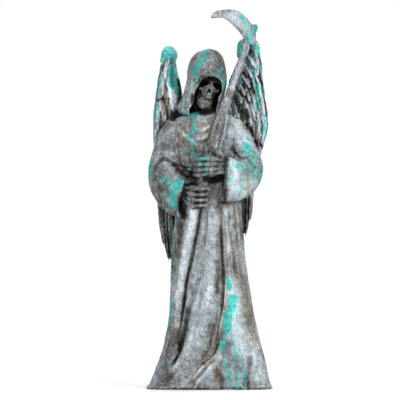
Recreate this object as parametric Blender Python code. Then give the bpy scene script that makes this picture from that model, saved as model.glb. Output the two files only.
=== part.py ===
"""Winged reaper figurine, cast in one piece.

A hooded skeleton in a long robe holds a scythe with both hands in front of it. Its two
wings are folded down its back. The robe's hem stands on a thin plate of the same casting.

The frame has +Z up and the figure faces -Y. The origin is at the bottom centre.
Lengths that stand alone are in metres. The pose, the outline and the carving are written
in figure units, U metres each, 380 of them from the sole to the top of the blade.
"""

from collections import namedtuple

import bmesh
import bpy
import numpy as np
from mathutils import Matrix

# Driving sizes, in metres
HEIGHT = 0.608
U = HEIGHT / 380
HEM_PLATE_THICKNESS = 0.005
HEM_PLATE_LIP = 0.0012
SNATH_DIAMETER = 0.0195
SNATH_TOP_DIAMETER = 0.007
BLADE_THICKNESS = 0.011
FEATHER_THICKNESS = 0.0092
FEATHER_ROW_STEP = 0.0042
WING_CORE_THICKNESS = 0.0065
FINGER_DIAMETER = 0.0072
SLEEVE_WALL = 0.0048
SLEEVE_HOLLOW_DEPTH = 0.026
HOOD_HOLLOW_DEPTH = 0.034

# How finely the casting is made
GRAIN = 0.85 * U
TRIANGLES = 9600

CONCRETE = (0.46, 0.46, 0.47, 1.0)
FRONT = np.array((0.0, -1.0, 0.0))

Fold = namedtuple("Fold", "line width rise kind side", defaults=("round", "front"))
"""A line of carving: its points seen from one side, its half-width and height in figure
units, whether it is a round fold or a lap that falls off sharply on its right-hand side,
and the side of the figure that it is carved into."""


# Curves and closed skins


def spline(at, values, where):
    """A smooth curve through values given at rising numbers, read at other numbers."""
    at, values = np.asarray(at, float), np.asarray(values, float)
    slope = np.gradient(values, at, axis=0)
    i = np.clip(np.searchsorted(at, where, side="right") - 1, 0, len(at) - 2)
    span = at[i + 1] - at[i]
    s = ((where - at[i]) / span).reshape((-1,) + (1,) * (values.ndim - 1))
    span = span.reshape(s.shape)
    return (
        (1 + 2 * s) * (1 - s) ** 2 * values[i]
        + s * (1 - s) ** 2 * span * slope[i]
        + s**2 * (3 - 2 * s) * values[i + 1]
        + s**2 * (s - 1) * span * slope[i + 1]
    )


def run_of(points):
    """How far along a line each of its points lies."""
    steps = np.linalg.norm(np.diff(np.asarray(points, float), axis=0), axis=1)
    return np.concatenate([[0], np.cumsum(steps)])


def smoothstep(x):
    x = np.clip(x, 0, 1)
    return x * x * (3 - 2 * x)


def loft(path, wide, deep, sides=16, rings=12, facing=FRONT, power=2.0, level=False):
    """A closed skin round a path, with the half-width and half-depth given at each point.

    A level loft keeps its rings flat, as for a standing body. Power 2 gives round
    sections, a higher power squarer ones and a lower one sections with a keel. It may be
    one number, or one for each point of the path.
    """
    path = np.asarray(path, float)
    at = run_of(path)
    where = np.linspace(0, at[-1], rings + 1)
    power = np.interp(where, at, np.broadcast_to(power, len(path)))
    centre = spline(at, path, where)
    half = np.maximum(spline(at, np.column_stack([wide, deep]), where), 0.05 * U)
    along = np.gradient(centre, where, axis=0)
    if level:
        along = np.tile((0.0, 0.0, 1.0), (rings + 1, 1))
    along /= np.linalg.norm(along, axis=1)[:, None]
    depth = -(facing - along * (along @ facing)[:, None])
    depth /= np.linalg.norm(depth, axis=1)[:, None]
    width = np.cross(depth, along)

    skin = bmesh.new()
    bmesh.ops.create_cone(
        skin, cap_ends=True, segments=sides, radius1=1, radius2=1, depth=rings
    )
    walls = [e for e in skin.edges if abs(e.verts[0].co.z - e.verts[1].co.z) > 0.5]
    bmesh.ops.subdivide_edges(skin, edges=walls, cuts=rings - 1)
    for vert in skin.verts:
        ring = round(vert.co.z + rings / 2)
        across, inward = (
            np.sign(c) * abs(c) ** (2 / power[ring]) for c in (vert.co.x, vert.co.y)
        )
        vert.co = (
            centre[ring]
            + width[ring] * half[ring, 0] * across
            + depth[ring] * half[ring, 1] * inward
        )
    return as_mesh(skin)


def limb(points, radii, sides=10, rings=None):
    """A round limb with rounded ends, such as a finger bone or the pole."""
    points, radii = np.asarray(points, float), np.asarray(radii, float)
    ends = []
    for end, inner, radius in ((0, 1, radii[0]), (-1, -2, radii[-1])):
        way = points[end] - points[inner]
        ends.append(points[end] + way / np.linalg.norm(way) * radius * 0.8)
    path = np.vstack([ends[0], points, ends[1]])
    radius = np.concatenate([[radii[0] * 0.35], radii, [radii[-1] * 0.35]])
    return loft(path, radius, radius, sides, rings or 3 * len(path))


def ball(centre, radii, subdivisions=3, tilt=None):
    """An ellipsoid, turned by a tilt matrix where it has one."""
    skin = bmesh.new()
    bmesh.ops.create_icosphere(skin, subdivisions=subdivisions, radius=1)
    place = Matrix.Translation(centre) @ (tilt or Matrix()) @ Matrix.Diagonal((*radii, 1))
    bmesh.ops.transform(skin, matrix=place, verts=skin.verts)
    return as_mesh(skin)


def as_mesh(skin):
    mesh = bpy.data.meshes.new("skin")
    bmesh.ops.recalc_face_normals(skin, faces=skin.faces)
    skin.to_mesh(mesh)
    skin.free()
    return mesh


def points_of(mesh):
    flat = np.empty(len(mesh.vertices) * 3, np.float32)
    mesh.vertices.foreach_get("co", flat)
    return flat.reshape(-1, 3).astype(float)


def normals_of(mesh):
    flat = np.empty(len(mesh.vertices) * 3, np.float32)
    mesh.vertices.foreach_get("normal", flat)
    return flat.reshape(-1, 3).astype(float)


def move_to(mesh, points):
    mesh.vertices.foreach_set("co", points.astype(np.float32).ravel())
    mesh.update()


def weld(meshes, grain, relax=2):
    """Overlapping skins made into one, on a grid of the given grain, then relaxed."""
    joined = bmesh.new()
    for mesh in meshes:
        joined.from_mesh(mesh)
    block = bpy.data.objects.new("block", as_mesh(joined))
    bpy.context.scene.collection.objects.link(block)
    remesh = block.modifiers.new("Weld", "REMESH")
    remesh.mode = "VOXEL"
    remesh.voxel_size = grain
    smooth = block.modifiers.new("Relax", "SMOOTH")
    smooth.factor = 0.5
    smooth.iterations = relax
    evaluated = block.evaluated_get(bpy.context.evaluated_depsgraph_get())
    welded = bpy.data.meshes.new_from_object(evaluated)
    bpy.data.objects.remove(block)
    return welded


# Carving

SIDES = {
    "front": (0, (0, -1, 0)),
    "back": (0, (0, 1, 0)),
    "left": (1, (-1, 0, 0)),
    "right": (1, (1, 0, 0)),
}


def distance_to(line, spots):
    """How far spots lie from a line, on which side, and how far along it."""
    at = run_of(line)
    fine = spline(at, line, np.linspace(0, at[-1], 4 * len(line)))
    nearest = np.full(len(spots), np.inf)
    right, along = np.zeros(len(spots)), np.zeros(len(spots))
    done = run_of(fine)
    for i, (a, b) in enumerate(zip(fine, fine[1:])):
        way = b - a
        share = np.clip((spots - a) @ way / (way @ way), 0, 1)
        off = spots - a - share[:, None] * way
        far = np.hypot(*off.T)
        closer = far < nearest
        nearest[closer] = far[closer]
        cross = way[0] * off[:, 1] - way[1] * off[:, 0]
        right[closer] = np.where(cross[closer] < 0, 1, -1)
        along[closer] = ((done[i] + share * (done[i + 1] - done[i])) / done[-1])[closer]
    return nearest, right, along


def carve(mesh, folds):
    """Raises or cuts each fold along the skin's own normals, on the side it belongs to."""
    points = points_of(mesh)
    for fold in folds:
        axis, towards = SIDES[fold.side]
        normals = normals_of(mesh)
        spots = points[:, [axis, 2]]
        line = np.asarray(fold.line, float) * U
        near = (np.abs(spots - line.mean(0)) < np.ptp(line, 0) / 2 + 2 * fold.width * U).all(1)
        near &= normals @ np.array(towards) > 0
        gap, right, along = distance_to(line, spots[near])
        s = gap / (fold.width * U)
        height = smoothstep(1 - s)
        if fold.kind == "lap":
            height = np.where(right > 0, smoothstep(1 - s * 4), height)
        height *= smoothstep(along * 5) * smoothstep((1 - along) * 5)
        height *= smoothstep(normals[near] @ np.array(towards) * 2)
        points[near] += normals[near] * (height * fold.rise * U)[:, None]
        move_to(mesh, points)
    return mesh


def inside(outline, spots):
    """Which spots lie within a closed outline."""
    within = np.zeros(len(spots), bool)
    for (x0, z0), (x1, z1) in zip(outline, np.roll(outline, -1, axis=0)):
        crosses = (z0 > spots[:, 1]) != (z1 > spots[:, 1])
        level = (spots[:, 1] - z0) / np.where(z1 == z0, 1e-9, z1 - z0)
        within ^= crosses & (spots[:, 0] < x0 + level * (x1 - x0))
    return within


def hollow(mesh, outline, depth, slope):
    """Pushes the front skin within an outline back, to make a hollow of that depth."""
    points, normals = points_of(mesh), normals_of(mesh)
    outline = np.asarray(outline, float) * U
    ring = np.vstack([outline, outline[:1]])
    at = run_of(ring)
    fine = spline(at, ring, np.linspace(0, at[-1], 80))[:-1]
    spots = points[:, [0, 2]]
    front = (normals[:, 1] < 0) & inside(fine, spots)
    gap = distance_to(ring, spots[front])[0]
    points[front, 1] += depth * smoothstep(gap / (slope * U))
    move_to(mesh, points)
    return mesh


# The robe


def trunk():
    """The robe's body from the hem to the neck: height, left, right, centre's y, half-depth."""
    levels = np.array(
        [
            (0, -62.5, 62, 0, 34),
            (4, -60.5, 61, 0, 33.5),
            (14, -56, 58, 0, 32),
            (28, -50.5, 54.5, 0, 30.5),
            (43, -45.5, 50.5, 0, 29),
            (60, -42, 46.5, 0, 28),
            (80, -39.5, 42.5, 0.5, 26.5),
            (105, -38.5, 38.5, 1, 25),
            (135, -37.5, 34, 1.5, 24),
            (170, -34.5, 32, 2, 22.5),
            (210, -32, 30, 2, 21.5),
            (240, -37, 30, 3, 21.5),
            (256, -40, 32, 3, 20.5),
            (266, -37, 30, 3, 18.5),
            (273, -30, 24, 3, 16),
            (277, -20, 15, 4, 12),
            (281, -12, 8, 6, 7),
            (295, -8, 4, 6, 6),
        ]
    )
    z, left, right, y, deep = levels.T
    path = np.column_stack([(left + right) / 2, y, z]) * U
    wide = (right - left) / 2 * U
    square = np.interp(z, [0, 30, 90], [3.4, 2.7, 2.15])
    return loft(path, wide, deep * U, 120, 150, power=square, level=True)


def hem_plate():
    """The thin plate under the hem, a lip wider than the robe, before it is cut flat at 0."""
    wide, deep = 62.3 * U + HEM_PLATE_LIP, 34 * U + HEM_PLATE_LIP
    path = [(-0.25 * U, 0, -HEM_PLATE_THICKNESS / 2), (-0.25 * U, 0, HEM_PLATE_THICKNESS)]
    return loft(path, [wide, wide], [deep, deep], 120, 2, power=3.4, level=True)


def sleeve(path, tall, deep):
    """A wide sleeve from the shoulder to the cuff, with a hollow in its mouth."""
    path, tall, deep = np.array(path) * U, np.array(tall) * U, np.array(deep) * U
    outer = loft(path, tall, deep, 40, 48, facing=FRONT)
    skin = bmesh.new()
    skin.from_mesh(outer)
    skin.faces.ensure_lookup_table()
    way = (path[-1] - path[-2]) / np.linalg.norm(path[-1] - path[-2])
    mouth = max(
        (f for f in skin.faces if len(f.verts) > 4),
        key=lambda f: np.array(f.calc_center_median()) @ way,
    )
    bmesh.ops.inset_region(skin, faces=[mouth], thickness=SLEEVE_WALL, use_even_offset=False)
    for _ in range(4):
        moved = bmesh.ops.extrude_face_region(skin, geom=[mouth])["geom"]
        bmesh.ops.delete(skin, geom=[mouth], context="FACES_ONLY")
        mouth = next(g for g in moved if isinstance(g, bmesh.types.BMFace))
        bmesh.ops.translate(skin, vec=-way * SLEEVE_HOLLOW_DEPTH / 4, verts=mouth.verts)
    return as_mesh(skin)


def sleeves():
    """Both sleeves, and the rolled upper edge of the right cuff."""
    right_arm = sleeve(
        path=[
            (-33, 3, 266), (-39, 2, 251), (-43.5, -2, 234), (-44.5, -8, 216),
            (-38.5, -16, 203), (-30.5, -22, 197), (-25, -25, 195.5),
        ],
        tall=[10, 13.5, 14.5, 17.5, 21, 24, 25],
        deep=[10, 14, 14, 13.5, 12, 10.5, 9.5],
    )
    left_arm = sleeve(
        path=[
            (20, 3, 266), (27, 2, 253), (34, -2, 236), (36.5, -9, 219),
            (30, -18, 211), (20, -24, 209.5), (12.5, -26, 210),
        ],
        tall=[11, 14, 14.5, 17, 20, 22, 22.5],
        deep=[10, 14, 14, 13.5, 12, 10.5, 9.5],
    )
    rolled = np.array([(-37, -17, 220.5), (-30, -21.5, 218), (-22, -25, 214.5)])
    cuff_top = limb(rolled * U, np.array([3.2, 3.4, 2.8]) * U, 12)
    return [right_arm, left_arm, cuff_top]


def robe_folds():
    """The drapery that shows from the front, from the great fold over the leg outwards."""
    leg = [(4, 200), (4, 167), (2.5, 130), (-1, 98), (-7, 68), (-17, 38), (-34, 17), (-52, 4)]
    groove = [
        (12, 188), (12.5, 165), (14, 134), (15, 112), (14.3, 92), (12, 75), (8.5, 52), (4, 35),
        (-4, 26), (-14, 16), (-27, 3),
    ]
    beside = [
        (-11, 118), (-15, 100), (-21.5, 80), (-25, 65), (-28, 50), (-32, 38), (-38, 27),
        (-46, 17), (-58, 2),
    ]
    beside_pole = [
        (-8.5, 184), (-12, 167), (-15, 150), (-17.5, 134), (-22, 117), (-26, 92), (-31, 55),
    ]
    return [
        Fold(leg, 16, 6),
        Fold(groove, 12, 2.2, "lap"),
        Fold([(x - 1.4, z) for x, z in groove], 3, -2.6),
        Fold([(12, 80), (10, 64), (7, 48), (2, 35), (-5, 25), (-14, 14), (-23, 4)], 3.6, 1.8),
        Fold(beside, 4, -2.8),
        Fold(beside_pole, 2.6, -1.8),
        Fold([(-4, 182), (-5, 160), (-8, 138)], 3.6, -1.6),
        Fold([(15, 62), (17, 25), (18, -12)], 22, -4),
        Fold([(18.8, 187), (19.5, 165), (22, 145), (24, 134), (26, 115), (29, 102)], 2.2, -1.8),
        Fold([(24, 187), (26, 165), (28, 150), (30, 134), (32, 115), (35, 98)], 2.4, -2),
        Fold([(29, 187), (31, 165), (33.5, 146)], 2.2, -1.6),
        Fold([(40.5, 36), (39, 24), (37.5, 12), (36.5, -4)], 3.2, -2.2),
        Fold([(45, 50), (49, 22), (52, -4)], 8, 3),
        Fold([(11, 32), (12, 14), (12.5, -4)], 3, -1.4),
        Fold([(-35.5, 165), (-36, 115), (-37.5, 85), (-40, 60), (-43, 38), (-44, 15)], 2.4, -2.2),
    ]


def chest_folds():
    """The cowl below the chin, and the cloth that hangs over the right forearm."""
    return [
        Fold([(-14, 266), (-6, 265), (1, 268)], 2, -0.7),
        Fold([(-18, 263), (-7, 260), (2, 264.5)], 3.4, 1),
        Fold([(-16, 257), (-7, 256), (1, 260)], 2, -0.9),
        Fold([(-16, 253), (-7, 251), (0, 254)], 3.2, 0.8),
        Fold([(-16, 247.5), (-8, 247), (-1, 251)], 2, -0.9),
        Fold([(-36, 268), (-28, 257), (-20, 250), (-12, 245)], 3.6, 1.2),
        Fold([(-27, 264), (-22, 256), (-16, 252)], 2.4, -0.9),
        Fold([(-38, 262), (-32, 252), (-26, 244), (-18, 239)], 3, -0.8),
        Fold([(18, 282), (14.5, 262), (11, 246), (8, 236)], 3.6, 1.6),
        Fold([(21.5, 280), (18.5, 262), (15.5, 244)], 2.2, -1.4),
        Fold([(-34, 244), (-31, 232), (-24, 221), (-13, 211)], 7, 1.4),
    ]


def sleeve_folds():
    """The crease that arcs over the right forearm, and the pouch of cloth on the left arm."""
    return [
        Fold([(-60, 216), (-55, 223), (-46, 230), (-38, 227), (-31, 220)], 3, -2.6),
        Fold([(-34, 222), (-28, 216.5), (-21, 211)], 2.4, -1),
        Fold([(-59, 227), (-50, 236), (-41, 237), (-33, 231)], 5, 1.8),
        Fold([(22, 245), (24, 237), (29, 231.5), (35, 231.5), (41, 236)], 3, -2.2),
        Fold([(28, 250), (31, 244), (36, 240)], 6, 1.8),
        Fold([(36, 231), (42, 226), (48, 219)], 3, -1.8),
        Fold([(21, 232), (18, 214), (17, 192)], 4, 1.5),
        Fold([(-26, 190), (-31, 178), (-29, 168)], 3, 1),
    ]


def hem_flutes():
    """Even flutes down the robe's sides and back, opening towards the hem."""
    folds = []
    for side, spread, count in (("back", 46, 7), ("left", 20, 3), ("right", 20, 3)):
        step = 2 * spread / (count - 1)
        for i in range(count):
            at_hem = step * i - spread + 2 * np.sin(2.4 * i + spread)
            line = [(0.5 * at_hem, 190), (0.62 * at_hem, 110), (0.8 * at_hem, 50), (at_hem, -12)]
            rise = 3.2 + 0.8 * np.cos(1.9 * i) if side == "back" else 1.0
            folds.append(Fold(line, 0.42 * step, rise, "round", side))
    return folds


def robe():
    body = weld([trunk(), hem_plate(), *sleeves()], GRAIN, relax=6)
    return carve(body, [*hem_flutes(), *robe_folds(), *chest_folds(), *sleeve_folds()])


# The head

FACE_OPENING = [
    (-2, 313), (-8, 310.5), (-11.5, 305), (-13.7, 301), (-15.7, 297), (-16.5, 292), (-18, 285.5),
    (-21.5, 278), (-20, 273), (-14, 269), (-4, 267.5), (4, 269), (6.5, 275), (7, 281), (8.8, 286),
    (9.5, 292), (11.5, 296), (12.5, 302), (11.5, 308), (7.5, 311.5), (3, 313),
]


def hood():
    levels = np.array(
        [
            (341, -2, 1, 3, 4),
            (338, -11.5, 8, 2.5, 11),
            (334, -16.5, 12, 2, 15.5),
            (328, -20, 14.5, 1.5, 19),
            (320, -22.3, 16.5, 1, 21.5),
            (312, -22.8, 17, 1, 23),
            (303, -24.5, 16.5, 1, 23.5),
            (292, -28, 14.5, 1.5, 22.5),
            (283, -32, 14, 2.5, 20.5),
            (277, -31, 15, 3, 19),
            (272, -25, 14, 4, 16),
            (268, -18, 10, 5, 13),
        ]
    )
    z, left, right, y, deep = levels.T
    path = np.column_stack([(left + right) / 2, y, z]) * U
    shell = loft(path, (right - left) / 2 * U, deep * U, 96, 90, level=True)
    rim = [(-21, 276), (-18, 286), (-16, 297), (-10, 308), (-2, 313.5), (8, 312), (13, 303), (11, 292)]
    carve(shell, [Fold(rim, 4, 1.2)])
    shell = weld([shell], 0.7 * U, relax=1)
    return hollow(shell, FACE_OPENING, HOOD_HOLLOW_DEPTH, 1.6)


def skull():
    """A plain skull, leaning towards its left shoulder, set back in the hood.

    It is made upright round the nose, in figure units, and then put in its place.
    """
    brow = [(-11.5, 6, 8.6), (-6.4, 1.5, 11), (0.4, 0.8, 10.4), (5.6, 1.6, 10.6), (9, 5, 8)]
    jaw = [
        (-9.2, 9, -2), (-8.4, 6, -8.5), (-7, 3, -13), (-2.4, 1.2, -16.3),
        (2.8, 3, -13.6), (4.2, 7, -9), (4.4, 10, -3),
    ]
    pieces = [
        ball((0, 13, 13), (12, 13, 12.5), 4),
        ball((-0.6, 3.8, 0), (7.8, 5, 8.6)),
        limb(brow, [1.4, 1.8, 1.5, 1.8, 1.4]),
        limb([(0.3, 0.8, 10), (0.2, -0.9, 6.6), (0, -0.6, 3.4)], [1.7, 1.3, 1]),
        ball((-1.2, 2.8, -5.8), (5, 3.9, 4)),
        limb(jaw, [1.6, 2.1, 2.6, 3.1, 2.6, 2, 1.6]),
        ball((-2.5, 3.2, -12.8), (5.2, 3.8, 3.8)),
        limb([(-4, 1.4, 0.8), (-8.2, 2.2, 1.2), (-11.2, 6, 1.4), (-11.6, 11, 2.4)], [1.7, 2, 1.6, 1.3]),
        limb([(3.5, 1.4, 1), (6.4, 2.4, 2.6), (8.6, 6, 4.2), (8.8, 11, 5)], [1.6, 1.9, 1.5, 1.3]),
    ]
    for piece in pieces:
        piece.transform(Matrix.Scale(U, 4))
    face = weld(pieces, 0.55 * U, relax=4)
    sockets = [
        [(-2, 5), (-2.3, 9.4), (-6.4, 10.2), (-10.4, 8.4), (-10.6, 4.8), (-6.8, 3.5)],
        [(2.2, 4.4), (2.3, 8.8), (4.8, 9.6), (7.8, 8.2), (8, 4.8), (5.6, 2.9)],
    ]
    for socket in sockets:
        hollow(face, socket, 6.5 * U, 1.6)
    nose = [(0.2, 2.8), (2, -0.5), (1.6, -2.4), (0.1, -1.7), (-1.4, -2.4), (-1.7, -0.5)]
    hollow(face, nose, 3.4 * U, 1.1)
    carve(face, [Fold([(-7.4, -9.6), (-1.4, -9.7), (4.2, -8.8)], 0.9, -1.6)])
    for i in range(-4, 2):
        across = 1.25 * i + 0.6
        carve(face, [Fold([(across, -6.6), (across, -12.2)], 0.55, -0.7)])
    lean = Matrix.Rotation(np.radians(15), 4, "Y")
    face.transform(Matrix.Translation(np.array((-0.6, -13.5, 298.5)) * U) @ lean)
    return face


# Hands and scythe

SNATH = [
    (36.5, 3, 349), (32.5, 2, 331), (26.8, -2, 317), (22.6, -7, 304), (19, -12, 293), (13.5, -18, 280),
    (7.5, -23, 262), (2.5, -27, 243), (-3, -29, 223), (-7, -29.5, 208), (-16, -27, 182), (-22, -24.5, 150),
    (-28.5, -22, 114), (-32, -22, 84), (-35, -23, 55), (-39.5, -24.5, 28),
]


def snath():
    """The scythe's pole, thick through the hands, thinner under the blade and at its foot."""
    full, top = SNATH_DIAMETER / 2, SNATH_TOP_DIAMETER / 2
    share = [
        0.1, 0.3, 0.43, 0.46, 0.5, 0.6, 0.68, 0.73,
        0.78, 0.78, 1, 0.98, 0.66, 0.55, 0.52, 0.4,
    ]
    radii = [top + (full - top) * s for s in share]
    return limb(np.array(SNATH) * U, radii, 14, 60)


def blade():
    """A broad crescent, thicker along its back than at its edge, with a heel at the pole."""
    back = np.array([
        (1.2, 372.6), (4, 376.8), (8, 379.2), (14, 380), (22, 380.2), (28, 379),
        (33, 376), (38, 370.5), (44, 362.5), (46, 354), (43.5, 346),
    ])
    edge = np.array([
        (1, 371.2), (4.6, 371.6), (8.6, 371.8), (12.5, 372), (17, 369.4), (21.5, 366),
        (25.5, 362.3), (29, 358.4), (32, 354), (34.5, 349.5), (35.5, 345),
    ])
    middle, half = (back + edge) / 2, np.linalg.norm(back - edge, axis=1) / 2
    path = np.column_stack([middle[:, 0], np.full(len(middle), 3.0), middle[:, 1]])
    thick = np.interp(np.arange(len(middle)), [0, 2, len(middle) - 1], [0.3, 0.8, 1])
    plate = loft(path * U, half * U, thick * BLADE_THICKNESS / 2, 20, 44)
    heel = np.array([(39, 3, 350), (42.5, 3, 359), (45.5, 3.5, 363)])
    return [plate, limb(heel * U, np.array([4, 4.4, 3.2]) * U, 12)]


def finger(joints, scale=1.0):
    """A bony finger: thick at the joints and thin between them."""
    joints = np.asarray(joints, float)
    path, radii = [joints[0]], [1.12]
    for i, (a, b) in enumerate(zip(joints, joints[1:])):
        path += [(a + b) / 2, b]
        radii += [0.72 - 0.06 * i, 1.0 - 0.12 * i]
    return limb(np.array(path) * U, np.array(radii) * scale * FINGER_DIAMETER / 2, 8)


def palm(line):
    """The back of a hand from the wrist to the knuckles."""
    return loft(np.array(line) * U, np.array([6, 7, 7.5]) * U, np.array([4, 3.4, 2.2]) * U)


def hands():
    """Both hands wrap the pole, the left one above the right one."""
    pieces = []
    for i, z in enumerate((230.5, 225, 219.5, 214.5)):
        x = -0.5 - 0.6 * i
        wrist = (17, -27.5, 229 - 3.2 * i)
        pieces.append(finger([wrist, (x, -37, z)], 1.15))
        tip = [(x - 10, -36.5, z - 0.5), (x - 13.5, -30, z - 0.5), (x - 10, -25, z)]
        pieces.append(finger([(x, -37, z), *tip]))
    pieces.append(finger([(14, -28, 232), (8, -35, 237.5), (1, -36, 240.5), (-4, -33, 238.5)], 1.5))
    pieces.append(palm([(22, -24, 222), (12, -29, 222.5), (3, -33, 222.5)]))
    for i, z in enumerate((200.5, 194.8, 189, 184)):
        x = -15.5 - 0.9 * i
        wrist = (-31, -25, 202 - 3 * i)
        pieces.append(finger([wrist, (x, -35, z)], 1.15))
        tip = [(x + 11, -34.5, z - 1), (x + 14, -28, z - 1), (x + 10, -23, z)]
        pieces.append(finger([(x, -35, z), *tip]))
    pieces.append(finger([(-28, -26, 205), (-20, -33.5, 209.5), (-12, -35.5, 207.5), (-7, -35, 206)], 1.3))
    pieces.append(palm([(-37, -21, 200), (-28, -26, 196), (-19, -31, 192.5)]))
    return pieces


# The wings


def wrap_round_back(points):
    """Bends the flat wing round the back, with its thickness kept square to the curve."""
    bend = np.clip(points[:, 0] / (62 * U), -1, 1) * np.pi / 2
    slope = -22 / 62 * np.pi / 2 * np.sin(bend)
    square = points[:, 1] / np.sqrt(1 + slope**2)
    points[:, 0] -= slope * square
    points[:, 1] = (6 + 22 * np.cos(bend)) * U + square


def feather(root, tip, bow, wide, layer):
    """A leaf-shaped feather hanging from root to tip, bowed away from the spine.

    A layer behind the wing is drawn nearer to the spine, by as much as the wrap spreads it.
    """
    root, tip = np.array(root, float), np.array(tip, float)
    y = layer * FEATHER_ROW_STEP / U
    share = np.array([0, 0.3, 0.6, 0.85, 1.0])
    flat = root + (tip - root) * share[:, None]
    flat[:, 0] += 0.42 * max(y, 0) - bow * np.sin(np.pi * share)
    path = np.column_stack([flat[:, 0], np.full(5, y), flat[:, 1]])
    leaf = np.array([0.7, 0.95, 1.0, 0.85, 0.3]) * wide
    thick = np.array([0.9, 1.0, 0.9, 0.75, 0.4]) * FEATHER_THICKNESS / 2
    return loft(path * U, leaf * U, thick, 8, 10, power=1.35)


def feather_row(roots, tips, bows, wide, count, layer):
    """Feathers side by side, from one line of roots to one line of tips."""
    share = np.linspace(0, 1, count)
    roots = spline(np.linspace(0, 1, len(roots)), roots, share)
    tips = spline(np.linspace(0, 1, len(tips)), tips, share)
    bows = np.interp(share, np.linspace(0, 1, len(bows)), bows)
    row = []
    for i in range(count):
        uneven = 1.6 * np.sin(5.1 * i + 1.3 * layer)
        tip = tips[i] + (0.0, uneven)
        row.append(feather(roots[i], tip, bows[i], wide, layer + 0.2 * (-1) ** i))
    return row


def wing_arm():
    """The wing's arm, from the thick rounded wrist at the top down to the shoulder."""
    line = np.array([
        (-40.6, 0, 344), (-41, 0, 339.5), (-41.6, -0.5, 333), (-41.2, -1, 326), (-39.6, -2, 318),
        (-36.8, -2.5, 306), (-35, -2.5, 294), (-33, -1.5, 282), (-25, 0, 264),
    ])
    wide = np.array([3.4, 6.2, 7.4, 6.8, 5.8, 5.9, 6, 5.4, 4])
    deep = np.array([3, 5, 5.8, 5.4, 5, 4.6, 4.4, 4, 3])
    knuckle = limb(np.array([(-46, -1, 332), (-46.8, -1, 326.5)]) * U, np.array([3, 3]) * U)
    inner = limb(np.array([(-37.8, 0, 340.5), (-37.2, -1, 330)]) * U, np.array([3.4, 3.6]) * U)
    return [loft(line * U, wide * U, deep * U, 14, 36), knuckle, inner]


def wing(side):
    """A folded wing: an arm up its inner edge, and rows of feathers on both faces.

    It is drawn for the figure's right wing, flat, then wrapped round the back. The left
    one is mirrored, stands a little higher and shorter, and has a broader wrist.
    """
    middle = np.array([
        (-40, 0, 341), (-40.5, 0, 325), (-42, 0, 300), (-35, 0, 262),
        (-34, 0, 225), (-38, 0, 180), (-41, 0, 140), (-40, 0, 118),
    ])
    wide = np.array([2, 6, 12, 21, 21, 14, 7, 2])
    thick = np.array([0.5, 1, 1, 1, 1, 0.9, 0.6, 0.3]) * WING_CORE_THICKNESS / 2
    core = loft(middle * U, wide * U, thick, 24, 40, power=3)
    pieces = [*wing_arm(), core]
    if side > 0:
        wrist = np.array([(-34.5, 0, 341), (-33, -1, 333), (-33.5, -1, 320)])
        pieces.append(limb(wrist * U, np.array([5, 6.4, 4.5]) * U))
        pieces += feather_row([(-33, 322), (-21, 287)], [(-28.5, 296), (-19, 259)], [0, 0], 3.4, 6, 1)
    pieces += feather_row(
        [(-46, 330), (-41, 335), (-34, 305), (-20, 268)],
        [(-53, 205), (-50, 172), (-45, 140), (-39, 112), (-27, 118), (-12, 160)],
        [4, 9, 6, 0],
        3.8,
        11,
        0,
    )
    for face in (-1, 1):
        pieces += feather_row(
            [(-45, 330), (-40, 335), (-34, 305), (-20, 268)],
            [(-54, 250), (-51, 232), (-42, 226), (-28, 215), (-8, 205)],
            [2, 4, 3, 0],
            3.7,
            9,
            face,
        )
        pieces += feather_row(
            [(-44, 332), (-40, 338), (-36, 315), (-32, 290), (-22, 266)],
            [(-51, 286), (-47, 278), (-41, 268), (-31, 255), (-11, 240)],
            [1, 2, 1, 0],
            3.6,
            8,
            2 * face,
        )
        pieces += feather_row(
            [(-43, 335), (-39, 335), (-36, 315), (-34, 295)],
            [(-47.5, 312), (-43, 304), (-37, 292), (-28, 275)],
            [1, 1, 0],
            3.4,
            6,
            2.9 * face,
        )
    flat = weld(pieces, 0.9 * U, relax=1)
    points = points_of(flat)
    wrap_round_back(points)
    if side > 0:
        points[:, 2] = 0.918 * points[:, 2] + 36 * U
        narrow = 1 - 0.15 * smoothstep((275 * U - points[:, 2]) / (90 * U))
        narrow += 0.045 * smoothstep(1 - np.abs(points[:, 2] - 262 * U) / (34 * U))
        points[:, 0] = 1.2 * U - points[:, 0] * narrow
    move_to(flat, points)
    if side > 0:
        flat.flip_normals()
    return flat


# The casting


def largest_body(mesh):
    """Drops any crumb that has come away from the casting."""
    skin = bmesh.new()
    skin.from_mesh(mesh)
    left, bodies = set(skin.verts), []
    while left:
        start = left.pop()
        body, edge = {start}, [start]
        while edge:
            vert = edge.pop()
            for link in vert.link_edges:
                other = link.other_vert(vert)
                if other not in body:
                    body.add(other)
                    edge.append(other)
        left -= body
        bodies.append(body)
    biggest = max(bodies, key=len)
    crumbs = [v for v in skin.verts if v not in biggest]
    bmesh.ops.delete(skin, geom=crumbs, context="VERTS")
    return as_mesh(skin)


def thin_out(mesh, triangles):
    """Keeps the form with fewer faces."""
    block = bpy.data.objects.new("block", mesh)
    bpy.context.scene.collection.objects.link(block)
    fewer = block.modifiers.new("Fewer faces", "DECIMATE")
    fewer.ratio = triangles / (2 * len(mesh.polygons))
    fewer.use_collapse_triangulate = True
    evaluated = block.evaluated_get(bpy.context.evaluated_depsgraph_get())
    thinned = bpy.data.meshes.new_from_object(evaluated)
    bpy.data.objects.remove(block)
    return thinned


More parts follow.
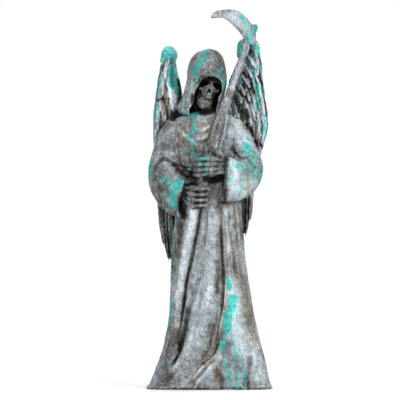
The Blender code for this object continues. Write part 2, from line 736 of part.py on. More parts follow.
def cut_flat_below(mesh, level):
    """Cuts the casting off at a level, and closes the cut with flat faces."""
    skin = bmesh.new()
    skin.from_mesh(mesh)
    everything = [*skin.verts, *skin.edges, *skin.faces]
    bmesh.ops.bisect_plane(
        skin, geom=everything, plane_co=(0, 0, level), plane_no=(0, 0, 1), clear_inner=True
    )
    bmesh.ops.remove_doubles(skin, verts=skin.verts, dist=0.0001)
    rim = [edge for edge in skin.edges if edge.is_boundary]
    bmesh.ops.triangle_fill(skin, edges=rim, use_dissolve=False, normal=(0, 0, -1))
    return as_mesh(skin)


def casting():
    pieces = [robe(), hood(), skull(), snath(), *blade(), *hands(), wing(-1), wing(1)]
    cast = largest_body(weld(pieces, GRAIN, relax=1))
    cast = cut_flat_below(thin_out(cast, TRIANGLES), 0.0)
    points = points_of(cast)
    low, high = points.min(0), points.max(0)
    points -= ((low[0] + high[0]) / 2, (low[1] + high[1]) / 2, low[2])
    move_to(cast, points)
    return cast


def concrete():
    finish = bpy.data.materials.new("painted concrete")
    finish.use_nodes = True
    surface = finish.node_tree.nodes["Principled BSDF"]
    surface.inputs["Base Color"].default_value = CONCRETE
    surface.inputs["Roughness"].default_value = 0.85
    surface.inputs["Metallic"].default_value = 0.0
    return finish


def main():
    for old in list(bpy.data.objects):
        bpy.data.objects.remove(old)
    mesh = casting()
    mesh.name = "reaper"
    mesh.materials.append(concrete())
    reaper = bpy.data.objects.new("reaper", mesh)
    bpy.context.scene.collection.objects.link(reaper)
    mesh.shade_smooth()
    mesh.set_sharp_from_angle(angle=np.radians(50))


main()
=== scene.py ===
"""Winged reaper figurine in painted cast concrete: its fine carving, its finish and its studio.

The figure stands upright on the ground and faces -Y. Its outline and carving are written in
figure units, U metres each, with x from the middle of the figure to its left hand, z up from
the ground and y to the back. Sizes that stand alone are in metres.
"""

import logging
from dataclasses import dataclass
from enum import Enum
from math import radians
from typing import Sequence

import bmesh
import bpy
import numpy as np
from mathutils import Matrix, Vector, noise


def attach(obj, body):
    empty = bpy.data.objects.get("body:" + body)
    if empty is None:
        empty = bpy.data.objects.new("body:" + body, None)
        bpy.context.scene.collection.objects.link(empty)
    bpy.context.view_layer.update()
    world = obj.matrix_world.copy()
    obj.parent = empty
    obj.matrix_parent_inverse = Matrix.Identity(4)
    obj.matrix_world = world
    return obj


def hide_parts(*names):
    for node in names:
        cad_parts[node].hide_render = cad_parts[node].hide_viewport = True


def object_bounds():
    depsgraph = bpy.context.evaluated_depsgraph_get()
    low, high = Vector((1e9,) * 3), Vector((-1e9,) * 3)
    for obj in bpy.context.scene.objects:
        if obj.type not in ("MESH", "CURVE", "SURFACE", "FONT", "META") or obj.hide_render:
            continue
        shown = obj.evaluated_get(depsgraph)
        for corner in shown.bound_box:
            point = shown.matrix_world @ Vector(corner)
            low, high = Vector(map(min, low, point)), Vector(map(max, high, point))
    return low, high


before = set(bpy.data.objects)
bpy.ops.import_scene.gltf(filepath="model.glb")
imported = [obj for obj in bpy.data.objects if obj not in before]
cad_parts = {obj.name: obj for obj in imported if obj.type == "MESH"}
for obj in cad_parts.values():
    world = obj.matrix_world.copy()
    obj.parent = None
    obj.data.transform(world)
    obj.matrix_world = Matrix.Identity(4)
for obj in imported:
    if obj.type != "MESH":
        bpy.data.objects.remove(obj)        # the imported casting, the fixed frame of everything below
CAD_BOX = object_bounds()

log = logging.getLogger("reaper")

U = 0.0016
CASTING = "reaper"
BODY = "root"
SETTLE = np.array((0.00042, 0.0030, 0.0))     # from the drawing's origin to the casting's
FRONT = np.array((0.0, -1.0, 0.0))
UP = np.array((0.0, 0.0, 1.0))

Point = tuple[float, ...]
Line = Sequence[Point]
Colour = tuple[float, float, float, float]


class Side(Enum):
    """The side of the figure that carving or paint is laid on: its drawing axis and facing."""

    FRONT = (0, (0, -1, 0))
    BACK = (0, (0, 1, 0))
    LEFT = (1, (-1, 0, 0))
    RIGHT = (1, (1, 0, 0))


class Cut(Enum):
    """The section of a fold: round, or a lap that falls off sharply on its right-hand side."""

    ROUND = "round"
    LAP = "lap"


class Coat(Enum):
    """What is brushed, splashed or rubbed on the casting, each kept as a mask of its own."""

    PAINT = "paint"
    # Pale wiped wash, and painted highlight and painted light
    PALE = "pale"
    # Dirt, and painted shade and painted shadow
    DIRT = "dirt"
    WARM = "warm"


@dataclass(frozen=True)
class Fold:
    """A line of carving, in figure units.

    Attributes:
        line: Its points as seen from its side: across, then height.
        width: Half of its width.
        rise: How far it stands up, or below 0 how deep it cuts.
        cut: The section.
        side: The side that it is carved into.
    """

    line: Line
    width: float
    rise: float
    cut: Cut = Cut.ROUND
    side: Side = Side.FRONT


@dataclass(frozen=True)
class Stroke:
    """A brush stroke or splash, in figure units as seen from its side.

    Attributes:
        coat: What it lays on.
        line: Its points: across, then height.
        width: Half of its width, where it fades out.
        amount: How full it is in the middle.
        side: The side that it is laid on.
    """

    coat: Coat
    line: Line
    width: float
    amount: float = 1.0
    side: Side = Side.FRONT


# Curves


def spline(at: Sequence[float], values: Sequence, where: np.ndarray) -> np.ndarray:
    """A smooth curve through values given at rising numbers.

    Args:
        at: The rising numbers.
        values: The value or point at each of them.
        where: The numbers to read the curve at.

    Returns:
        The values there.
    """
    at, values = np.asarray(at, float), np.asarray(values, float)
    slope = np.gradient(values, at, axis=0)
    i = np.clip(np.searchsorted(at, where, side="right") - 1, 0, len(at) - 2)
    span = at[i + 1] - at[i]
    s = ((where - at[i]) / span).reshape((-1,) + (1,) * (values.ndim - 1))
    span = span.reshape(s.shape)
    return (
        (1 + 2 * s) * (1 - s) ** 2 * values[i]
        + s * (1 - s) ** 2 * span * slope[i]
        + s**2 * (3 - 2 * s) * values[i + 1]
        + s**2 * (s - 1) * span * slope[i + 1]
    )


def run_of(points: Line) -> np.ndarray:
    """How far along a line each of its points lies."""
    steps = np.linalg.norm(np.diff(np.asarray(points, float), axis=0), axis=1)
    return np.concatenate([[0], np.cumsum(steps)])


def smoothstep(x: np.ndarray) -> np.ndarray:
    """0 up to 0, 1 from 1, and an even ease between."""
    x = np.clip(x, 0, 1)
    return x * x * (3 - 2 * x)


def along_line(points: Line, count: int) -> np.ndarray:
    """Evenly spaced points on the smooth curve through a line's points."""
    at = run_of(points)
    return spline(at, points, np.linspace(0, at[-1], count))


# Skins


def as_mesh(skin: bmesh.types.BMesh) -> bpy.types.Mesh:
    """Ends a bmesh as a mesh whose faces point outwards.

    Args:
        skin: The bmesh, which is freed.

    Returns:
        The mesh.
    """
    mesh = bpy.data.meshes.new("skin")
    bmesh.ops.recalc_face_normals(skin, faces=skin.faces)
    skin.to_mesh(mesh)
    skin.free()
    return mesh


def points_of(mesh: bpy.types.Mesh) -> np.ndarray:
    """The places of a mesh's vertices.

    Args:
        mesh: The mesh.

    Returns:
        A row of x, y and z for each vertex.
    """
    flat = np.empty(len(mesh.vertices) * 3, np.float32)
    mesh.vertices.foreach_get("co", flat)
    return flat.reshape(-1, 3).astype(float)


def normals_of(mesh: bpy.types.Mesh) -> np.ndarray:
    """The normals of a mesh's vertices.

    Args:
        mesh: The mesh.

    Returns:
        A row of x, y and z for each vertex.
    """
    flat = np.empty(len(mesh.vertices) * 3, np.float32)
    mesh.vertices.foreach_get("normal", flat)
    return flat.reshape(-1, 3).astype(float)


def move_to(mesh: bpy.types.Mesh, points: np.ndarray) -> None:
    """Puts a mesh's vertices in new places."""
    mesh.vertices.foreach_set("co", points.astype(np.float32).ravel())
    mesh.update()


def loft(
    path: Line,
    wide: Sequence[float],
    deep: Sequence[float],
    sides: int = 16,
    rings: int = 12,
    power: float | Sequence[float] = 2.0,
    level: bool = False,
) -> bpy.types.Mesh:
    """A closed skin round a path.

    Args:
        path: The middle line, in figure units.
        wide: The half-width at each point, across the view.
        deep: The half-depth at each point, along the view.
        sides: Faces round the section.
        rings: Faces along the path.
        power: 2 for round sections, more for squarer ones, less for ones with a keel.
        level: Whether the sections stay flat, as for a standing body.

    Returns:
        The skin, in metres.
    """
    path = np.asarray(path, float)
    at = run_of(path)
    where = np.linspace(0, at[-1], rings + 1)
    power = np.interp(where, at, np.broadcast_to(power, len(path)))
    centre = spline(at, path, where)
    half = np.maximum(spline(at, np.column_stack([wide, deep]), where), 0.05)
    along = np.gradient(centre, where, axis=0)
    if level:
        along = np.tile(UP, (rings + 1, 1))
    along /= np.linalg.norm(along, axis=1)[:, None]
    depth = along * (along @ FRONT)[:, None] - FRONT
    depth /= np.linalg.norm(depth, axis=1)[:, None]
    width = np.cross(depth, along)

    skin = bmesh.new()
    bmesh.ops.create_cone(skin, cap_ends=True, segments=sides, radius1=1, radius2=1, depth=rings)
    walls = [e for e in skin.edges if abs(e.verts[0].co.z - e.verts[1].co.z) > 0.5]
    bmesh.ops.subdivide_edges(skin, edges=walls, cuts=rings - 1)
    for vert in skin.verts:
        ring = round(vert.co.z + rings / 2)
        across, inward = (
            np.sign(c) * abs(c) ** (2 / power[ring]) for c in (vert.co.x, vert.co.y)
        )
        place = centre[ring] + width[ring] * half[ring, 0] * across
        vert.co = (place + depth[ring] * half[ring, 1] * inward) * U
    return as_mesh(skin)


def standing(
    levels: Line, sides: int, rings: int, power: float | Sequence[float] = 2.0
) -> bpy.types.Mesh:
    """A closed skin round a standing body.

    Args:
        levels: The height, left, right, middle's y and half-depth of each level.
        sides: Faces round the section.
        rings: Faces along the height.
        power: As for a loft.

    Returns:
        The skin.
    """
    z, left, right, y, deep = np.asarray(levels, float).T
    path = np.column_stack([(left + right) / 2, y, z])
    return loft(path, (right - left) / 2, deep, sides, rings, power=power, level=True)


def limb(points: Line, radii: Sequence[float], sides: int = 12, rings: int = 0) -> bpy.types.Mesh:
    """A round limb with rounded ends, such as a finger or the pole.

    Args:
        points: Its middle line, in figure units.
        radii: Its radius at each point.
        sides: Faces round it.
        rings: Faces along it, or 0 for three to each point.

    Returns:
        The skin.
    """
    points, radii = np.asarray(points, float), np.asarray(radii, float)
    ends = []
    for end, inner, radius in ((0, 1, radii[0]), (-1, -2, radii[-1])):
        way = points[end] - points[inner]
        ends.append(points[end] + way / np.linalg.norm(way) * radius * 0.8)
    path = np.vstack([ends[0], points, ends[1]])
    radius = np.concatenate([[radii[0] * 0.35], radii, [radii[-1] * 0.35]])
    return loft(path, radius, radius, sides, rings or 3 * len(path))


def ball(centre: Point, radii: Point, subdivisions: int = 4) -> bpy.types.Mesh:
    """An ellipsoid, in figure units.

    Args:
        centre: Its middle.
        radii: Its half-sizes along x, y and z.
        subdivisions: How finely it is faceted.

    Returns:
        The skin, in metres.
    """
    skin = bmesh.new()
    bmesh.ops.create_icosphere(skin, subdivisions=subdivisions, radius=U)
    bmesh.ops.scale(skin, vec=radii, verts=skin.verts)
    bmesh.ops.translate(skin, vec=Vector(centre) * U, verts=skin.verts)
    return as_mesh(skin)


def weld(meshes: Sequence[bpy.types.Mesh], grain: float, relax: int = 2) -> bpy.types.Mesh:
    """Makes overlapping skins into one.

    Args:
        meshes: The skins.
        grain: The size of the faces that the new skin gets, in metres.
        relax: How many times it is smoothed.

    Returns:
        The new skin.
    """
    joined = bmesh.new()
    for mesh in meshes:
        joined.from_mesh(mesh)
    block = bpy.data.objects.new("block", as_mesh(joined))
    bpy.context.scene.collection.objects.link(block)
    remesh = block.modifiers.new("Weld", "REMESH")
    remesh.mode = "VOXEL"
    remesh.voxel_size = grain
    smooth = block.modifiers.new("Relax", "SMOOTH")
    smooth.factor = 0.5
    smooth.iterations = relax
    evaluated = block.evaluated_get(bpy.context.evaluated_depsgraph_get())
    welded = bpy.data.meshes.new_from_object(evaluated)
    bpy.data.objects.remove(block)
    return welded


# Carving


def distance_to(line: np.ndarray, spots: np.ndarray) -> tuple[np.ndarray, np.ndarray, np.ndarray]:
    """Measures spots against a curve in the same plane.

    Args:
        line: The curve's own points.
        spots: The places to measure.

    Returns:
        How far each is from the curve, 1 on its right-hand side and -1 on its left, and the
        share of the curve that is passed there.
    """
    fine = along_line(line, 4 * len(line))
    nearest = np.full(len(spots), np.inf)
    right, along = np.zeros(len(spots)), np.zeros(len(spots))
    done = run_of(fine)
    for i, (a, b) in enumerate(zip(fine, fine[1:])):
        way = b - a
        share = np.clip((spots - a) @ way / (way @ way), 0, 1)
        off = spots - a - share[:, None] * way
        far = np.hypot(*off.T)
        closer = far < nearest
        nearest[closer] = far[closer]
        cross = way[0] * off[:, 1] - way[1] * off[:, 0]
        right[closer] = np.where(cross[closer] < 0, 1, -1)
        along[closer] = ((done[i] + share * (done[i + 1] - done[i])) / done[-1])[closer]
    return nearest, right, along


def near_line(
    points: np.ndarray, normals: np.ndarray, line: Line, width: float, side: Side
) -> tuple[np.ndarray, np.ndarray, np.ndarray]:
    """Picks the part of a skin that faces a side and lies near a line drawn on that side.

    Args:
        points: The skin's vertices.
        normals: Their normals.
        line: The line, in figure units.
        width: How far from it still counts, in figure units.
        side: The side it is drawn on.

    Returns:
        Which vertices are near, where they lie as seen from that side, and the line in metres.
    """
    axis, towards = side.value
    spots = points[:, [axis, 2]]
    drawn = np.asarray(line, float) * U
    reach = np.ptp(drawn, 0) / 2 + 1.5 * width * U
    near = (np.abs(spots - (drawn.min(0) + drawn.max(0)) / 2) < reach).all(1)
    near &= normals @ np.array(towards) > 0
    return near, spots[near], drawn


def carve(mesh: bpy.types.Mesh, folds: Sequence[Fold]) -> bpy.types.Mesh:
    """Raises or cuts each fold along the skin's own normals, on the side it belongs to.

    Args:
        mesh: The skin.
        folds: The folds, in the order that they are carved in.

    Returns:
        The same skin.
    """
    points = points_of(mesh)
    for fold in folds:
        normals = normals_of(mesh)
        near, spots, line = near_line(points, normals, fold.line, fold.width, fold.side)
        gap, right, along = distance_to(line, spots)
        s = gap / (fold.width * U)
        height = smoothstep(1 - s)
        if fold.cut is Cut.LAP:
            height = np.where(right > 0, smoothstep(1 - s * 4), height)
        height *= smoothstep(along * 5) * smoothstep((1 - along) * 5)
        height *= smoothstep(normals[near] @ np.array(fold.side.value[1]) * 2)
        points[near] += normals[near] * (height * fold.rise * U)[:, None]
        move_to(mesh, points)
    return mesh


def inside(outline: np.ndarray, spots: np.ndarray) -> np.ndarray:
    """Which spots lie within a closed outline.

    Args:
        outline: Its points in turn.
        spots: The places to test.

    Returns:
        True for each spot inside.
    """
    within = np.zeros(len(spots), bool)
    for (x0, z0), (x1, z1) in zip(outline, np.roll(outline, -1, axis=0)):
        crosses = (z0 > spots[:, 1]) != (z1 > spots[:, 1])
        level = (spots[:, 1] - z0) / np.where(z1 == z0, 1e-9, z1 - z0)
        within ^= crosses & (spots[:, 0] < x0 + level * (x1 - x0))
    return within


def hollow(mesh: bpy.types.Mesh, outline: Line, depth: float, slope: float) -> bpy.types.Mesh:
    """Pushes the front skin within an outline back.

    Args:
        mesh: The skin.
        outline: The hollow's rim as seen from the front, in figure units.
        depth: How deep the hollow is, in figure units.
        slope: How wide its sloping wall is.

    Returns:
        The same skin.
    """
    points, normals = points_of(mesh), normals_of(mesh)
    ring = np.asarray([*outline, outline[0]], float) * U
    spots = points[:, [0, 2]]
    front = (normals[:, 1] < 0) & inside(along_line(ring, 80)[:-1], spots)
    gap = distance_to(ring, spots[front])[0]
    points[front, 1] += depth * U * smoothstep(gap / (slope * U))
    move_to(mesh, points)
    return mesh


def roughen(mesh: bpy.types.Mesh, height: float, size: Point, seed: float = 0.0) -> bpy.types.Mesh:
    """Gives a skin the uneven surface of a hand-made casting.

    Args:
        mesh: The skin.
        height: How far it moves at most, in metres.
        size: The size of the unevenness along x, y and z, in metres.
        seed: Picks another pattern.

    Returns:
        The same skin.
    """
    points, normals = points_of(mesh), normals_of(mesh)
    spots = points / np.array(size) + seed
    lift = np.array([noise.fractal(spot, 0.7, 2.2, 3) for spot in spots.tolist()])
    move_to(mesh, points + normals * (lift * height)[:, None])
    return mesh


# Masks on the skin


class Shelter:
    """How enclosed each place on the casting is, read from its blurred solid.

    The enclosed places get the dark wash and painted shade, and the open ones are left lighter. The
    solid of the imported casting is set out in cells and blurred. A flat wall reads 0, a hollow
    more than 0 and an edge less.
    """

    def __init__(self, solid: bpy.types.Object, cell: float) -> None:
        """Sets the solid out in cells.

        Args:
            solid: The casting.
            cell: The size of a cell, in metres.
        """
        self.cell = cell
        points = points_of(solid.data)
        margin = 12 * cell
        self.low = points.min(0) - margin
        self.shape = np.ceil((points.max(0) + margin - self.low) / cell).astype(int) + 1
        self.filled = self._fill(solid.data, (points - self.low) / cell)

    def _fill(self, mesh: bpy.types.Mesh, points: np.ndarray) -> np.ndarray:
        """Counts each column's way into and out of the solid, from below.

        Args:
            mesh: The solid.
            points: Its vertices, in cells.

        Returns:
            1 in each cell inside the solid and 0 outside.
        """
        mesh.calc_loop_triangles()
        corners = np.empty(len(mesh.loop_triangles) * 3, np.int32)
        mesh.loop_triangles.foreach_get("vertices", corners)
        steps = np.zeros(self.shape, np.float32)
        for a, b, c in points[corners.reshape(-1, 3)]:
            area = (b[0] - a[0]) * (c[1] - a[1]) - (b[1] - a[1]) * (c[0] - a[0])
            if area == 0:
                continue
            low = np.ceil(np.minimum(np.minimum(a, b), c)[:2]).astype(int)
            high = np.floor(np.maximum(np.maximum(a, b), c)[:2]).astype(int)
            if (high < low).any():
                continue
            x, y = np.mgrid[low[0] : high[0] + 1, low[1] : high[1] + 1]
            share_c = ((b[0] - a[0]) * (y - a[1]) - (b[1] - a[1]) * (x - a[0])) / area
            share_b = ((x - a[0]) * (c[1] - a[1]) - (y - a[1]) * (c[0] - a[0])) / area
            over = (share_b >= 0) & (share_c >= 0) & (share_b + share_c < 1)
            z = a[2] + share_b * (b[2] - a[2]) + share_c * (c[2] - a[2])
            np.add.at(steps, (x[over], y[over], np.ceil(z[over]).astype(int)), -np.sign(area))
        return (np.cumsum(steps, axis=2) > 0.5).astype(np.float32)

    def blurred(self, reach: float) -> np.ndarray:
        """The solid blurred by a bell of the given reach in metres.

        Args:
            reach: The bell's reach.

        Returns:
            The blurred cells.
        """
        size = max(1, round(reach / self.cell * 0.9))
        soft = self.filled
        for axis in (0, 1, 2) * 3:
            padded = np.concatenate([np.repeat(np.take(soft, [0], axis), size + 1, axis), soft,
                                     np.repeat(np.take(soft, [-1], axis), size, axis)], axis)
            total = np.cumsum(padded, axis=axis, dtype=np.float64)
            count = soft.shape[axis]
            upper = np.take(total, range(2 * size + 1, 2 * size + 1 + count), axis)
            soft = ((upper - np.take(total, range(count), axis)) / (2 * size + 1)).astype(np.float32)
        return soft

    def read(self, blurred: np.ndarray, points: np.ndarray) -> np.ndarray:
        """Reads a blurred solid at places, evenly between its cells.

        Args:
            blurred: The blurred cells.
            points: The places, in metres.

        Returns:
            The value at each place.
        """
        spot = np.clip((points - self.low) / self.cell, 0, np.array(self.shape) - 1.001)
        base = spot.astype(int)
        part = spot - base
        value = np.zeros(len(points))
        for corner in np.ndindex(2, 2, 2):
            weight = np.prod(np.where(corner, part, 1 - part), axis=1)
            value += weight * blurred[tuple((base + corner).T)]
        return value

    def depth_at(self, points: np.ndarray, normals: np.ndarray, reach: float) -> np.ndarray:
        """How enclosed a skin's vertices are.

        Args:
            points: The vertices.
            normals: Their normals.
            reach: The size of the hollows that count, in metres.

        Returns:
            0 on a flat wall, about 0.5 in a deep groove, and below 0 on edges.
        """
        flat_wall = 0.2
        return self.read(self.blurred(reach), points + normals * reach * 0.85) - flat_wall


def mean_of_neighbours(pairs: np.ndarray, count: int, values: np.ndarray) -> np.ndarray:
    """The mean of each vertex's neighbours.

    Args:
        pairs: The two vertices of each edge.
        count: How many vertices there are.
        values: A row for each vertex.

    Returns:
        The mean row of each vertex's neighbours.
    """
    total = np.zeros_like(values)
    for column in range(values.shape[1]):
        total[:, column] = np.bincount(pairs[:, 0], values[pairs[:, 1], column], count)
        total[:, column] += np.bincount(pairs[:, 1], values[pairs[:, 0], column], count)
    number = np.bincount(pairs.ravel(), minlength=count)
    return total / np.maximum(number, 1)[:, None]


def fine_relief(mesh: bpy.types.Mesh, rounds: int) -> np.ndarray:
    """How far each vertex lies below the smoothed skin, in metres: over 0 in a groove.

    Args:
        mesh: The skin.
        rounds: How many times it is smoothed.

    Returns:
        The distance of each vertex.
    """
    pairs = np.empty(len(mesh.edges) * 2, np.int32)
    mesh.edges.foreach_get("vertices", pairs)
    pairs = pairs.reshape(-1, 2)
    points = smoothed = points_of(mesh)
    for _ in range(rounds):
        smoothed = 0.5 * smoothed + 0.5 * mean_of_neighbours(pairs, len(points), smoothed)
    return np.einsum("ij,ij->i", smoothed - points, normals_of(mesh))


def lay_on(mesh: bpy.types.Mesh, strokes: Sequence[Stroke], coat: Coat) -> np.ndarray:
    """How much of a coat each vertex gets from the strokes.

    Args:
        mesh: The skin.
        strokes: All the strokes.
        coat: The coat.

    Returns:
        The amount at each vertex.
    """
    points, normals = points_of(mesh), normals_of(mesh)
    amount = np.zeros(len(points))
    for stroke in strokes:
        if stroke.coat is not coat:
            continue
        near, spots, line = near_line(points, normals, stroke.line, stroke.width, stroke.side)
        gap = distance_to(line, spots)[0] / (stroke.width * U)
        facing = smoothstep(normals[near] @ np.array(stroke.side.value[1]) * 3)
        amount[near] = np.maximum(amount[near], stroke.amount * smoothstep(1 - gap) * facing)
    return amount


def write_mask(mesh: bpy.types.Mesh, name: str, values: np.ndarray) -> None:
    """Keeps a value at each vertex for the materials to read."""
    mask = mesh.attributes.new(name, "FLOAT", "POINT")
    mask.data.foreach_set("value", values.astype(np.float32))


# Shader nodes


class NodeKit:
    """Adds nodes to a tree with short calls.

    Attributes:
        tree: The node tree.
    """

    def __init__(self, tree: bpy.types.NodeTree) -> None:
        """Starts on a tree."""
        self.tree = tree

    def node(self, kind: str, **settings: object) -> bpy.types.Node:
        """Adds a node and sets its own settings.

        Args:
            kind: The node's type.
            settings: Its settings by name.

        Returns:
            The node.
        """
        node = self.tree.nodes.new(kind)
        for name, value in settings.items():
            setattr(node, name, value)
        return node

    def feed(self, socket: bpy.types.NodeSocket, value: object) -> None:
        """Links an output to a socket, or sets the socket to a value.

        Args:
            socket: The input.
            value: The output or the value.
        """
        if isinstance(value, bpy.types.NodeSocket):
            self.tree.links.new(value, socket)
        else:
            socket.default_value = value

    def math(self, operation: str, a: object, b: object = 0.0, third: object = 0.0) -> bpy.types.NodeSocket:
        """A Math node on two values, or on three for the operations that take a third.

        Args:
            operation: What it does.
            a: The first value.
            b: The second.
            third: The third.

        Returns:
            The node's output.
        """
        node = self.node("ShaderNodeMath", operation=operation)
        for socket, given in zip(node.inputs, (a, b, third)):
            self.feed(socket, given)
        return node.outputs[0]

    def fit(
        self, value: object, low: float, high: float, to_low: float = 0.0, to_high: float = 1.0
    ) -> bpy.types.NodeSocket:
        """Eases a value from one range into another.

        Args:
            value: The value.
            low: Where its range starts.
            high: Where its range ends.
            to_low: What the start becomes.
            to_high: What the end becomes.

        Returns:
            The node's output.
        """
        node = self.node("ShaderNodeMapRange", interpolation_type="SMOOTHSTEP")
        for socket, given in zip(node.inputs, (value, low, high, to_low, to_high)):
            self.feed(socket, given)
        return node.outputs[0]

    def mix(self, share: object, a: object, b: object, blend: str = "MIX") -> bpy.types.NodeSocket:
        """Mixes two colours.

        Args:
            share: How much of the second shows.
            a: The first colour.
            b: The second.
            blend: How they are blended.

        Returns:
            The node's output.
        """
        node = self.node("ShaderNodeMix", data_type="RGBA", blend_type=blend)
        self.feed(node.inputs[0], share)
        self.feed(node.inputs[6], a)
        self.feed(node.inputs[7], b)
        return node.outputs[2]

    def noise(
        self, place: object, scale: float, detail: float = 4.0, rough: float = 0.6
    ) -> bpy.types.NodeSocket:
        """A Noise texture's value, centred on 0.

        Args:
            place: Where it is read.
            scale: Repeats in a metre.
            detail: Its octaves.
            rough: How strong the finer octaves are.

        Returns:
            The node's output.
        """
        node = self.node("ShaderNodeTexNoise")
        self.feed(node.inputs["Vector"], place)
        self.feed(node.inputs["Scale"], scale)
        self.feed(node.inputs["Detail"], detail)
        self.feed(node.inputs["Roughness"], rough)
        return self.math("SUBTRACT", node.outputs["Fac"], 0.5)

    def stretch(self, place: object, scale: Point) -> bpy.types.NodeSocket:
        """A Mapping node that only scales.

        Args:
            place: The place.
            scale: The scale along x, y and z.

        Returns:
            The node's output.
        """
        node = self.node("ShaderNodeMapping")
        self.feed(node.inputs["Vector"], place)
        node.inputs["Scale"].default_value = scale
        return node.outputs[0]

    def ramp(self, value: object, stops: Sequence[tuple[float, Colour]]) -> bpy.types.NodeSocket:
        """A Color Ramp with the given stops.

        Args:
            value: Where on the ramp it is read.
            stops: The place and the colour of each stop.

        Returns:
            The node's output.
        """
        node = self.node("ShaderNodeValToRGB")
        elements = node.color_ramp.elements
        while len(elements) < len(stops):
            elements.new(0.5)
        for element, (place, colour) in zip(elements, stops):
            element.position = place
            element.color = colour
        self.feed(node.inputs[0], value)
        return node.outputs[0]


def grey(value: float, warm: float = 0.0) -> Colour:
    """A grey, bluish below 0 warmth and brownish above."""
    return (value * (1 + warm), value * (1 + 0.25 * abs(warm)), value * (1 - warm), 1.0)


# Dark wash and painted shade in the hollows, through the greys of the concrete, to the whitewashed ridges
TONES = (
    (0.0, grey(0.003, 0.16)),
    (0.16, grey(0.012, 0.14)),
    (0.3, grey(0.05, 0.08)),
    (0.45, grey(0.14, 0.0)),
    (0.6, grey(0.29, -0.09)),
    (0.78, grey(0.5, -0.095)),
    (1.0, grey(0.78, -0.06)),
)
TEAL_DEEP = (0.016, 0.34, 0.3, 1.0)
TEAL_PALE = (0.1, 0.56, 0.51, 1.0)
STAIN = (0.66, 1.0, 0.97, 1.0)
WARM_WASH = (0.4, 0.32, 0.225, 1.0)
COLD_WASH = (0.28, 0.32, 0.42, 1.0)
MASKS = ("groove", "recess", "shelter", *(coat.value for coat in Coat))


